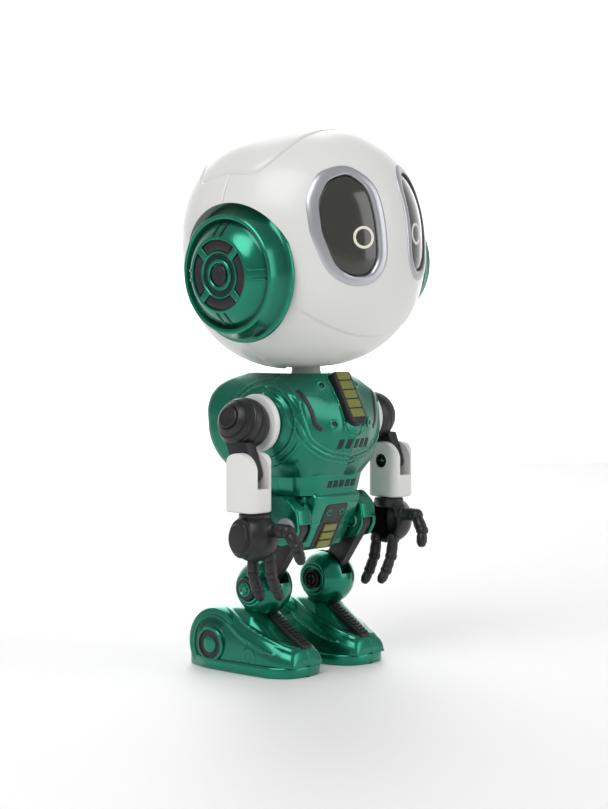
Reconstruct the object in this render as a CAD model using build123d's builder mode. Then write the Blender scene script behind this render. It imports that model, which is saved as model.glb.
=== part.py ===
"""Posable die-cast talking toy robot, about 118 mm tall, as an assembly of separate pieces.

The robot faces -Y with +Z up, and its left side is +X. The origin is on the ground, under the middle
of its bounding box. The head is stored tilted a few degrees towards the robot's right.
"""

import os
from math import cos, radians, sin

from build123d import *

# ---------------------------------------------------------------- driving dimensions (mm, degrees)
NECK_Z = 80.0  # height of the neck ball's centre
COLLAR_Z = 62.7  # underside of the neck's collar disc
HEAD_LIFT = 11.7  # head centre above the neck ball
HEAD_TILT = 4.2  # stored tilt of the head towards -X
HEAD_R = 26.4  # half the head's width, depth and height
HEAD_POWER = 2.3  # 2 would be a true sphere
HEAD_WALL = 1.8
EAR_Y, EAR_Z = -1.7, -4.2  # ear axis, from the head's centre
EAR_R, EAR_SEAT, EAR_OUT = 14.7, 21.5, 29.0  # ear flange radius, seat and outer face, along X
EYE_X, EYE_Z = 11.0, 4.9  # middle of an eye's outline, from the head's centre
PUPIL_X, PUPIL_Z, PUPIL_R = 8.7, 2.1, 2.4

SHOULDER = (21.1, -1.1, 54.2)
SHOULDER_R = 5.6
SHOULDER_SHAFT_R = 2.5
ELBOW = (23.55, -4.8, 44.2)
SLEEVE_W, SLEEVE_D, SLEEVE_BOTTOM = 7.3, 8.6, 36.0
PALM = (22.3, -5.3, 30.7)
PALM_R = 5.3
WRIST_R = 2.0

HIP_Y, HIP_Z = -6.2, 31.8
LEG_X, LINK_T = 10.5, 2.6
BALL_Y, BALL_Z, BALL_R = 2.9, 18.2, 6.2
SOLE_W, SOLE_L, SOLE_Y, SOLE_T = 15.4, 31.9, 5.75, 2.8
HEEL_Y, HEEL_Z, HEEL_R = 12.4, 5.4, 8.0

RUN = 0.06  # running clearance of a shaft in its bore, on the radius
GAP = 0.3  # clearance between faces of bodies that move
WALL = 1.6  # wall of the torso castings
INLAY = 0.8  # depth of a flush inlay in the torso

# Outlines of the chest: the crest down the middle of the front, the back, and half of the front view
CHEST_CREST = (
    (-11.6, 42.6), (-13.0, 46.0), (-15.1, 49.6), (-15.6, 54.0), (-13.9, 58.0), (-11.8, 61.5), (-10.2, 64.0), (-9.8, 64.6),
)
CHEST_BACK = ((11.4, 42.6), (13.8, 46.0), (15.8, 49.6), (16.5, 54.0), (16.5, 58.0), (15.4, 61.5), (12.8, 63.8), (11.0, 64.6))
CHEST_HALF = ((12.4, 42.6), (14.9, 46.0), (15.8, 49.6), (16.0, 54.0), (15.9, 58.0), (14.6, 61.5), (11.4, 63.8), (9.8, 64.6))
CHEST_BOTTOM, CHEST_TOP = 42.6, 64.6
CHEST_SWEEP = 0.43  # how far the front falls back per millimetre outwards
WAIST_SIDE = ((-9.2, 38.0), (-11.2, 43.0), (9.8, 43.0), (8.6, 38.0))
WAIST_HALF = 10.8
PELVIS_SIDE = ((-9.5, 38.8), (-9.3, 36.4), (-3.9, 26.2), (0.4, 25.8), (9.0, 31.6), (9.0, 38.8))
PELVIS_HALF = 8.6
HOOD_SIDE = ((-9.4, 31.0), (-8.8, 36.2), (-5.0, 38.6), (4.6, 38.6), (6.6, 34.0), (3.6, 29.4), (-4.6, 27.4), (-8.0, 28.4))
HOOD_OUT = 13.2

os.makedirs("parts", exist_ok=True)


def save(block, name):
    """Label a finished piece and write it."""
    block.part.label = name
    export_step(block.part, f"parts/{name}.step")


# ---------------------------------------------------------------- planes of the tilted head
TILT = radians(HEAD_TILT)
HEAD_RIGHT = Vector(cos(TILT), 0, sin(TILT))
HEAD_UP = Vector(-sin(TILT), 0, cos(TILT))
NECK = Vector(0, 0, NECK_Z)
HEAD = NECK + HEAD_UP * HEAD_LIFT
HEAD_PLAN = Plane(HEAD, x_dir=HEAD_RIGHT, z_dir=HEAD_UP)
HEAD_FACE = Plane(HEAD, x_dir=HEAD_RIGHT, z_dir=(0, -1, 0))


def ear_plane(side, out):
    """Plane across one ear's axis, at a distance along it, with its normal pointing outwards."""
    axis = HEAD_RIGHT * side
    return Plane(HEAD + axis * out + Vector(0, EAR_Y, 0) + HEAD_UP * EAR_Z, x_dir=(0, side, 0), z_dir=axis)


def head_form(radius):
    """The head's solid of revolution, at one radius."""
    steps = 6
    bend = 2 / HEAD_POWER
    turns = [radians(90 * i / steps) for i in range(steps)]
    upper = [(radius * cos(a) ** bend, radius * sin(a) ** bend) for a in turns]
    lower = [(x, -z) for x, z in reversed(upper[1:])]
    with BuildPart() as form:
        with BuildSketch(HEAD_FACE):
            with BuildLine():
                Spline((0, -radius), *lower, *upper, (0, radius), tangents=((1, 0), (-1, 0)))
                Line((0, radius), (0, -radius))
            make_face()
        revolve(axis=Axis(HEAD, HEAD_UP))
    return form.part


EYE_OUTLINE = (
    (-2.6, 12.8), (3.2, 10.9), (6.8, 6.6), (7.7, 0.6), (6.4, -7.0), (2.6, -11.6),
    (-2.4, -12.9), (-6.5, -11.0), (-7.6, -6.0), (-7.5, 1.0), (-7.3, 6.6), (-5.9, 11.2),
)


def eye_form(side, inset):
    """A prism towards the face, with the outline of an eye: straight beside the nose, bulging outwards."""
    with BuildPart() as form:
        with BuildSketch(HEAD_FACE):
            Polygon(*[(side * (EYE_X + x), EYE_Z + z) for x, z in EYE_OUTLINE], align=None)
            if inset:
                offset(amount=-inset, kind=Kind.INTERSECTION, mode=Mode.REPLACE)
        extrude(amount=40)
    return form.part


HEAD_OUTER = head_form(HEAD_R)
HEAD_INNER = head_form(HEAD_R - HEAD_WALL)
HEAD_PROUD = head_form(HEAD_R + 0.35)
LENS_OUTER = head_form(HEAD_R - 0.35)
RING_BED = head_form(HEAD_R - 0.95)
BEZEL_W, LENS_INSET = 2.3, 2.4

# ---------------------------------------------------------------- neck
with BuildPart() as neck_collar:
    with BuildSketch(Plane.XY.offset(COLLAR_Z)):
        Circle(6.0)
    extrude(amount=1.5)
    with BuildSketch(Plane.XY.offset(56.0)):
        Circle(3.0)
    extrude(amount=7.4)
    with BuildSketch(Plane.XY.offset(56.0)):
        Circle(4.6)
    extrude(amount=1.6)
    with BuildSketch(Plane.XY.offset(COLLAR_Z + 1)):
        Circle(3.2)
    extrude(amount=74.9 - COLLAR_Z - 1)
    with BuildSketch(Plane.XY.offset(74.8)):
        Rectangle(2.8, 4.4)
    extrude(amount=7.0)
    with BuildSketch(Plane.YZ):
        with Locations((0, NECK_Z)):
            Circle(0.8 + RUN)
    extrude(amount=5, both=True, mode=Mode.SUBTRACT)
save(neck_collar, "neck_collar")

BALL = 5.6
with BuildPart() as neck_ball:
    with Locations(NECK):
        Sphere(BALL)
    with BuildSketch(Plane.YZ.offset(-1.4 - GAP)):
        with Locations((0, NECK_Z - 2)):
            Rectangle(8.0, 10.0)
    extrude(amount=2 * (1.4 + GAP), mode=Mode.SUBTRACT)
    with BuildSketch(Plane.XY.offset(NECK_Z - BALL - 1)):
        Circle(4.2)
    extrude(amount=2.6, mode=Mode.SUBTRACT)
    with BuildSketch(Plane.YZ):
        with Locations((0, NECK_Z)):
            Circle(0.8)
    extrude(amount=4.6, both=True, mode=Mode.SUBTRACT)
    with BuildSketch(Plane.XZ):
        with Locations((0, NECK_Z)):
            Circle(0.8 + RUN)
    extrude(amount=BALL + 1, both=True, mode=Mode.SUBTRACT)
save(neck_ball, "neck_ball")

with BuildPart() as neck_pin:
    with BuildSketch(Plane.YZ):
        with Locations((0, NECK_Z)):
            Circle(0.8)
    extrude(amount=4.6, both=True)
save(neck_pin, "neck_pin")

with BuildPart() as head_chassis:
    with BuildSketch(HEAD_PLAN.offset(-HEAD_LIFT - 1.0)):
        Circle(20.6)
    extrude(amount=2.0)
    with BuildSketch(HEAD_PLAN.offset(-HEAD_LIFT - 3.6)):
        Circle(8.2)
    extrude(amount=8.6)
    with Locations(NECK):
        Sphere(BALL + RUN, mode=Mode.SUBTRACT)
    with BuildSketch(HEAD_PLAN.offset(-HEAD_LIFT - 9)):
        Circle(5.0)
    extrude(amount=7.2, mode=Mode.SUBTRACT)
    for front in (-1, 1):
        with Locations(Plane((0, front * 4.3, NECK_Z), z_dir=(0, front, 0))):
            Cylinder(0.8, 2.6, align=(Align.CENTER, Align.CENTER, Align.MIN))
save(head_chassis, "head_chassis")

# ---------------------------------------------------------------- head shells
with BuildPart() as head_screws:
    for x in (-9.0, 9.0):
        spot = HEAD + HEAD_RIGHT * x + HEAD_UP * -9.0 + Vector(0, 21.2, 0)
        with Locations(Plane(spot, z_dir=(0, 1, 0))):
            Cylinder(1.5, 1.0, align=(Align.CENTER, Align.CENTER, Align.MIN))
            Cylinder(0.8, 8.0, align=(Align.CENTER, Align.CENTER, Align.MAX))
            with Locations((0, 0, 0.7)):
                Box(2.0, 0.4, 0.8, mode=Mode.SUBTRACT)
                Box(0.4, 2.0, 0.8, mode=Mode.SUBTRACT)
save(head_screws, "head_screws")

for half, keep, name in ((-1, Keep.TOP, "head_front_shell"), (1, Keep.BOTTOM, "head_rear_shell")):
    with BuildPart() as shell:
        add(HEAD_OUTER)
        add(HEAD_INNER, mode=Mode.SUBTRACT)
        for side in (-1, 1):
            with BuildSketch(ear_plane(side, EAR_SEAT)):
                Circle(EAR_R + 0.05)
            extrude(amount=10, mode=Mode.SUBTRACT)
        with BuildSketch(HEAD_PLAN.offset(-HEAD_R - 1)):
            Circle(7.4)
        extrude(amount=6, mode=Mode.SUBTRACT)
        if half < 0:
            for side in (-1, 1):
                add(eye_form(side, 0), mode=Mode.SUBTRACT)
        for x in (-9.0, 9.0):
            with Locations(Plane(HEAD + HEAD_RIGHT * x + HEAD_UP * -9.0 + Vector(0, 21.2, 0), z_dir=(0, 1, 0))):
                Cylinder(1.5, 6.0, align=(Align.CENTER, Align.CENTER, Align.MIN), mode=Mode.SUBTRACT)
                Cylinder(0.8, 8.0, align=(Align.CENTER, Align.CENTER, Align.MAX), mode=Mode.SUBTRACT)
        with BuildSketch(HEAD_PLAN.offset(12)):
            with Locations((0, 1.5)):
                RectangleRounded(43.2, 23.6, 7.0)
        extrude(amount=20, mode=Mode.SUBTRACT)
        split(bisect_by=Plane(HEAD, x_dir=(1, 0, 0), z_dir=(0, -1, 0)), keep=keep)
    save(shell, name)

with BuildPart() as head_crown_panel:
    with BuildSketch(HEAD_PLAN.offset(12)):
        with Locations((0, 1.5)):
            RectangleRounded(43.2, 23.6, 7.0)
    extrude(amount=20)
    add(HEAD_OUTER, mode=Mode.INTERSECT)
    add(HEAD_INNER, mode=Mode.SUBTRACT)
save(head_crown_panel, "head_crown_panel")

# ---------------------------------------------------------------- eyes
for side, word in ((1, "left"), (-1, "right")):
    with BuildPart() as eye_bezel:
        add(eye_form(side, 0.12))
        add(HEAD_PROUD, mode=Mode.INTERSECT)
        add(HEAD_INNER, mode=Mode.SUBTRACT)
        add(eye_form(side, BEZEL_W), mode=Mode.SUBTRACT)
    save(eye_bezel, f"eye_bezel_{word}")

    with BuildPart() as eye_ring:
        with BuildSketch(HEAD_FACE):
            with Locations((side * PUPIL_X, PUPIL_Z)):
                Circle(PUPIL_R)
                Circle(PUPIL_R - 0.7, mode=Mode.SUBTRACT)
        extrude(amount=40)
        add(LENS_OUTER, mode=Mode.INTERSECT)
        add(RING_BED, mode=Mode.SUBTRACT)
    save(eye_ring, f"eye_ring_{word}")

    with BuildPart() as eye_lens:
        add(eye_form(side, LENS_INSET))
        add(LENS_OUTER, mode=Mode.INTERSECT)
        add(HEAD_INNER, mode=Mode.SUBTRACT)
        add(eye_ring.part, mode=Mode.SUBTRACT)
    save(eye_lens, f"eye_lens_{word}")

with BuildPart() as eye_leds:
    for side in (-1, 1):
        spot = HEAD + HEAD_RIGHT * (side * PUPIL_X) + HEAD_UP * PUPIL_Z + Vector(0, -17.0, 0)
        with Locations(Plane(spot, z_dir=(0, -1, 0))):
            Cylinder(1.5, 4.0, align=(Align.CENTER, Align.CENTER, Align.MIN))
            Cylinder(1.9, 0.8, align=(Align.CENTER, Align.CENTER, Align.MIN))
save(eye_leds, "eye_leds")

# ---------------------------------------------------------------- ears
EAR_STEPS = ((14.7, 0.0), (14.7, 0.9), (13.6, 3.0), (12.2, 5.2), (11.0, 5.2), (10.8, 4.6), (7.6, 7.5), (0, 7.5))
for side, word in ((1, "left"), (-1, "right")):
    with BuildPart() as ear_inlay:
        with BuildSketch(ear_plane(side, EAR_OUT - 0.7)):
            Circle(7.2)
            Circle(4.9, mode=Mode.SUBTRACT)
            for turn in (45, 135):
                Rectangle(20, 1.6, rotation=turn, mode=Mode.SUBTRACT)
            Circle(2.1)
        extrude(amount=0.7)
    save(ear_inlay, f"ear_inlay_{word}")

    seat = ear_plane(side, EAR_SEAT)
    with BuildPart() as ear:
        with BuildSketch(Plane(seat.origin, x_dir=(0, 1, 0), z_dir=Vector(0, 1, 0).cross(seat.z_dir))):
            with BuildLine():
                Polyline((0, 0), *EAR_STEPS, close=True)
            make_face()
        revolve(axis=Axis(seat.origin, seat.z_dir))
        add(ear_inlay.part, mode=Mode.SUBTRACT)
    save(ear, f"ear_{word}")



# ---------------------------------------------------------------- torso
def torso_form(inset):
    """The chest: two halves swept back from the crest, trimmed by the back and by the front view."""
    with BuildPart() as form:
        for side in (-1, 1):
            with BuildSketch(Plane.YZ):
                Polygon(*CHEST_CREST, (40, CHEST_TOP), (40, CHEST_BOTTOM), align=None)
                if inset:
                    offset(amount=-inset, kind=Kind.INTERSECTION, mode=Mode.REPLACE)
            extrude(amount=20, dir=(side, CHEST_SWEEP, 0))
        with BuildSketch(Plane.YZ):
            Polygon((-40, CHEST_TOP), (-40, CHEST_BOTTOM), *CHEST_BACK, align=None)
            if inset:
                offset(amount=-inset, kind=Kind.INTERSECTION, mode=Mode.REPLACE)
        extrude(amount=30, both=True, mode=Mode.INTERSECT)
        with BuildSketch(Plane.XZ):
            Polygon(*CHEST_HALF, *[(-x, z) for x, z in reversed(CHEST_HALF)], align=None)
            if inset:
                offset(amount=-inset, kind=Kind.INTERSECTION, mode=Mode.REPLACE)
        extrude(amount=30, both=True, mode=Mode.INTERSECT)
        with BuildSketch(Plane.XY.offset(40)):
            with Locations((0, -13.5)):
                RectangleRounded(32 - 2 * inset, 60 - 2 * inset, 5.0)
        extrude(amount=30, mode=Mode.INTERSECT)
    return form.part


def side_prism(profile, x_from, x_to, round_by=0.0):
    """Prism along X with a side profile given in (y, z)."""
    with BuildPart() as form:
        with BuildSketch(Plane.YZ.offset(x_from)):
            Polygon(*profile, align=None)
            if round_by:
                fillet(vertices(), radius=round_by)
        extrude(amount=x_to - x_from)
    return form.part


TORSO_CORE = torso_form(0)
TORSO_CAVITY = torso_form(WALL)
PELVIS_SLOPE = Plane((0, -6.6, 31.3), x_dir=(1, 0, 0), z_dir=(0, -10.2, -5.4))
CHEST_SLOPE = Plane((0, -12.8, 59.3), x_dir=(1, 0, 0), z_dir=(0, -10.4, 5.4))

with BuildPart() as chest_strip:
    with BuildSketch(CHEST_SLOPE.offset(-1.6)):
        SlotOverall(12.6, 4.2, rotation=90)
    extrude(amount=2.4)
with BuildPart() as chest_bars:
    with BuildSketch(CHEST_SLOPE.offset(0.4)):
        with GridLocations(0, 2.2, 1, 5):
            RectangleRounded(2.7, 1.2, 0.4)
    extrude(amount=0.8)
with BuildPart() as strip_cut:
    add(chest_strip.part)
    add(chest_bars.part, mode=Mode.SUBTRACT)

RIVET_AT = ((5.7, -8.7, 62.3), (5.75, -13.0, 53.9))
with BuildPart() as chest_rivets:
    for x, y, z in RIVET_AT:
        for side in (-1, 1):
            with Locations(Plane((side * x, y, z), z_dir=(side * 0.45, -0.85, 0.25))):
                Cylinder(0.9, 2.4)

with BuildPart() as chest_inlays:
    for side in (-1, 1):
        with BuildSketch(Plane.XZ.offset(4)):
            bend = (
                (11.6, 61.4), (12.8, 61.4), (10.8, 56.8), (10.5, 54.2), (8.2, 52.2), (8.2, 53.5), (9.4, 54.8), (9.7, 57.0),
            )
            Polygon(*[(side * x, z) for x, z in bend], align=None)
        extrude(amount=20, dir=(0, -1, 0))
    add(TORSO_CORE, mode=Mode.INTERSECT)
    add(torso_form(INLAY), mode=Mode.SUBTRACT)

with BuildPart() as pelvis_panel:
    with BuildSketch(PELVIS_SLOPE.offset(-1.2)):
        RectangleRounded(7.4, 11.4, 0.8)
    extrude(amount=1.4)
with BuildPart() as pelvis_bars:
    with BuildSketch(PELVIS_SLOPE.offset(0.0)):
        with Locations((0, -2.2)):
            with GridLocations(0, 2.2, 1, 3):
                RectangleRounded(4.2, 1.6, 0.3)
    extrude(amount=0.65)
with BuildPart() as pelvis_rivets:
    with Locations(PELVIS_SLOPE):
        with Locations((-2.1, 3.6), (2.1, 3.6)):
            Cylinder(0.7, 1.4)
with BuildPart() as panel_cut:
    add(pelvis_panel.part)
    add(pelvis_bars.part, mode=Mode.SUBTRACT)
    add(pelvis_rivets.part, mode=Mode.SUBTRACT)

CELL_R, CELL_T, CELL_Y, CELL_Z = 5.8, 5.4, 7.8, 51.0
DOOR_Z, DOOR_SCREW_Z = 52.4, 58.6
with BuildPart() as battery_door:
    with BuildSketch(Plane.XZ.offset(-12)):
        with Locations((0, DOOR_Z)):
            RectangleRounded(19.0, 17.0, 1.6)
    extrude(amount=-8)
    add(TORSO_CORE, mode=Mode.INTERSECT)
    add(TORSO_CAVITY, mode=Mode.SUBTRACT)
    with Locations(Plane((0, 15.0, DOOR_SCREW_Z), z_dir=(0, 1, 0))):
        Cylinder(0.8, 12, mode=Mode.SUBTRACT)
        Cylinder(1.5, 4, align=(Align.CENTER, Align.CENTER, Align.MIN), mode=Mode.SUBTRACT)

with BuildPart() as battery_door_screw:
    with Locations(Plane((0, 15.0, DOOR_SCREW_Z), z_dir=(0, 1, 0))):
        Cylinder(1.5, 0.9, align=(Align.CENTER, Align.CENTER, Align.MIN))
        Cylinder(0.8, 5.0, align=(Align.CENTER, Align.CENTER, Align.MAX))
        with Locations((0, 0, 0.7)):
            Box(2.0, 0.4, 0.8, mode=Mode.SUBTRACT)
            Box(0.4, 2.0, 0.8, mode=Mode.SUBTRACT)

with BuildPart() as battery_case:
    with Locations((0, CELL_Y, CELL_Z - 1.2)):
        Box(3 * CELL_T + 2.4, 2 * CELL_R + 0.8, 2 * CELL_R - 0.6)
    with Locations(Plane((0, CELL_Y, CELL_Z), z_dir=(1, 0, 0))):
        Cylinder(CELL_R, 3 * CELL_T, mode=Mode.SUBTRACT)
    with Locations((0, CELL_Y, CELL_Z + 6)):
        Box(3 * CELL_T, 2 * CELL_R, 12, mode=Mode.SUBTRACT)
    add(TORSO_CAVITY, mode=Mode.INTERSECT)

with BuildPart() as button_cells:
    for step in (-1, 0, 1):
        with Locations(Plane((step * CELL_T, CELL_Y, CELL_Z), z_dir=(1, 0, 0))):
            Cylinder(CELL_R - 0.05, CELL_T - 0.1)

with BuildPart() as circuit_board:
    with Locations((0, 0.9, 49.6)):
        Box(17.0, 1.0, 10.4)
    for x, z in ((-4.5, 51.5), (3.0, 48.0), (6.2, 52.6)):
        with Locations((x, -0.2, z)):
            Box(3.2, 1.2, 2.4)

with BuildPart() as speaker:
    with Locations(Plane((0, -6.0, 49.8), z_dir=(0, -1, 0))):
        Cylinder(6.0, 2.4)
        Cylinder(3.6, 4.4)

SWITCH_Z, SWITCH_X = 40.6, 0.7
with BuildPart() as power_switch:
    with BuildSketch(Plane.XZ.offset(-7.2)):
        with Locations((-SWITCH_X, SWITCH_Z)):
            RectangleRounded(1.6, 1.5, 0.3)
    extrude(amount=-3.0)
    with BuildSketch(Plane.XZ.offset(-6.6)):
        with Locations((-SWITCH_X, SWITCH_Z)):
            Rectangle(3.6, 1.9)
    extrude(amount=-1.3)

SCREW_AT = ((6.8, 60.0), (11.8, 46.0))
SCREW_Y = 9.4
with BuildPart() as torso_screws:
    for x, z in SCREW_AT:
        for side in (-1, 1):
            with Locations(Plane((side * x, SCREW_Y, z), z_dir=(0, 1, 0))):
                Cylinder(1.4, 0.9, align=(Align.CENTER, Align.CENTER, Align.MIN))
                Cylinder(0.8, 12.0, align=(Align.CENTER, Align.CENTER, Align.MAX))

with BuildPart() as screw_posts:
    for x, z in SCREW_AT:
        for side in (-1, 1):
            with Locations(Plane((side * x, 4, z), z_dir=(0, 1, 0))):
                Cylinder(2.1, 30)
    with Locations((0, 10.2, 61.6)):
        Box(3.6, 7.0, 9.4)
    add(TORSO_CORE, mode=Mode.INTERSECT)

with BuildPart() as torso:
    add(TORSO_CORE)
    add(side_prism(WAIST_SIDE, -WAIST_HALF, WAIST_HALF, 0.0))
    add(side_prism(PELVIS_SIDE, -PELVIS_HALF, PELVIS_HALF, 0.6))
    for side in (-1, 1):
        inner, outer = sorted((side * (PELVIS_HALF - 0.5), side * HOOD_OUT))
        add(side_prism(HOOD_SIDE, inner, outer, 1.2))
    add(TORSO_CAVITY, mode=Mode.SUBTRACT)
    with BuildSketch(Plane.XY.offset(36.4)):
        with Locations((0, -0.2)):
            RectangleRounded(17.4, 14.0, 2.0)
    extrude(amount=9, mode=Mode.SUBTRACT)
    add(screw_posts.part)
    for piece in (chest_strip, chest_rivets, chest_inlays, pelvis_panel, pelvis_rivets, battery_door, battery_door_screw):
        add(piece.part, mode=Mode.SUBTRACT)
    for side in (-1, 1):
        with Locations(Plane((side * 16.0, SHOULDER[1], SHOULDER[2]), x_dir=(0, 1, 1), z_dir=(1, 0, 0))):
            Cylinder(SHOULDER_SHAFT_R + RUN, 16, mode=Mode.SUBTRACT)
        with Locations((side * LEG_X, -1.0, HIP_Z - 2.6)):
            Box(LINK_T + 2 * GAP, 26, 11.6, mode=Mode.SUBTRACT)
        with Locations(Plane((side * 10.6, HIP_Y, HIP_Z), z_dir=(1, 0, 0))):
            Cylinder(1.5, 6.4, mode=Mode.SUBTRACT)
        for x, z in SCREW_AT:
            with Locations(Plane((side * x, SCREW_Y, z), z_dir=(0, 1, 0))):
                Cylinder(1.4, 9.0, align=(Align.CENTER, Align.CENTER, Align.MIN), mode=Mode.SUBTRACT)
                Cylinder(0.8, 12.0, align=(Align.CENTER, Align.CENTER, Align.MAX), mode=Mode.SUBTRACT)
    with Locations((0, 0, COLLAR_Z)):
        Cylinder(6.0 + RUN, 6, align=(Align.CENTER, Align.CENTER, Align.MIN), mode=Mode.SUBTRACT)
        Cylinder(3.0 + RUN, 12, mode=Mode.SUBTRACT)
    with Locations((0, 0, 63.9)):
        Cylinder(9.4, 3, align=(Align.CENTER, Align.CENTER, Align.MIN), mode=Mode.SUBTRACT)
    with Locations(Plane((0, 15.0, DOOR_SCREW_Z), z_dir=(0, 1, 0))):
        Cylinder(1.5, 4, align=(Align.CENTER, Align.CENTER, Align.MIN), mode=Mode.SUBTRACT)
    with BuildSketch(Plane.XZ.offset(-7.9)):
        with Locations((0, SWITCH_Z)):
            Rectangle(3.2, 1.6)
    extrude(amount=-5, mode=Mode.SUBTRACT)
    with Locations((0, 7.2, SWITCH_Z)):
        Box(5.4, 1.6, 2.1, mode=Mode.SUBTRACT)

for back, name in ((-1, "torso_front_shell"), (1, "torso_rear_shell")):
    with BuildPart() as shell:
        with Locations((0, SHOULDER[1] + back * 20, 45)):
            Box(80, 40, 90)
        add(torso.part, mode=Mode.INTERSECT)
    save(shell, name)
save(strip_cut, "chest_strip")
save(chest_bars, "chest_bars")
save(chest_rivets, "chest_rivets")
save(chest_inlays, "chest_inlays")
save(panel_cut, "pelvis_panel")
save(pelvis_bars, "pelvis_bars")
save(pelvis_rivets, "pelvis_rivets")
save(battery_door, "battery_door")
save(battery_door_screw, "battery_door_screw")
save(battery_case, "battery_case")
save(button_cells, "button_cells")
save(circuit_board, "circuit_board")
save(speaker, "speaker")
save(power_switch, "power_switch")
save(torso_screws, "torso_screws")


# ---------------------------------------------------------------- arms
def rod(start, end, radius, ball=True):
    """A round rod between two points, with a ball on its far end."""
    first, last = Vector(start), Vector(end)
    with BuildPart() as form:
        with Locations(Plane(first, z_dir=last - first)):
            Cylinder(radius, (last - first).length, align=(Align.CENTER, Align.CENTER, Align.MIN))
        if ball:
            with Locations(last):
                Sphere(1.1 * radius)
    return form.part


FINGERS = (
    ((20.6, -3.2, 26.6), (20.2, -2.9, 22.6), (18.8, -2.6, 19.4), (17.3, -2.4, 17.0)),
    ((20.6, -8.0, 26.8), (20.0, -7.9, 22.9), (18.5, -7.7, 19.8), (16.9, -7.5, 17.6)),
)
THUMB = ((21.8, -9.4, 32.4), (21.5, -13.8, 32.4), (20.9, -16.0, 29.2), (20.2, -16.4, 26.2))
DISC_IN, DISC_OUT = 16.3, 18.0
TONGUE_T, TONGUE_R = 3.0, 3.1

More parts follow.
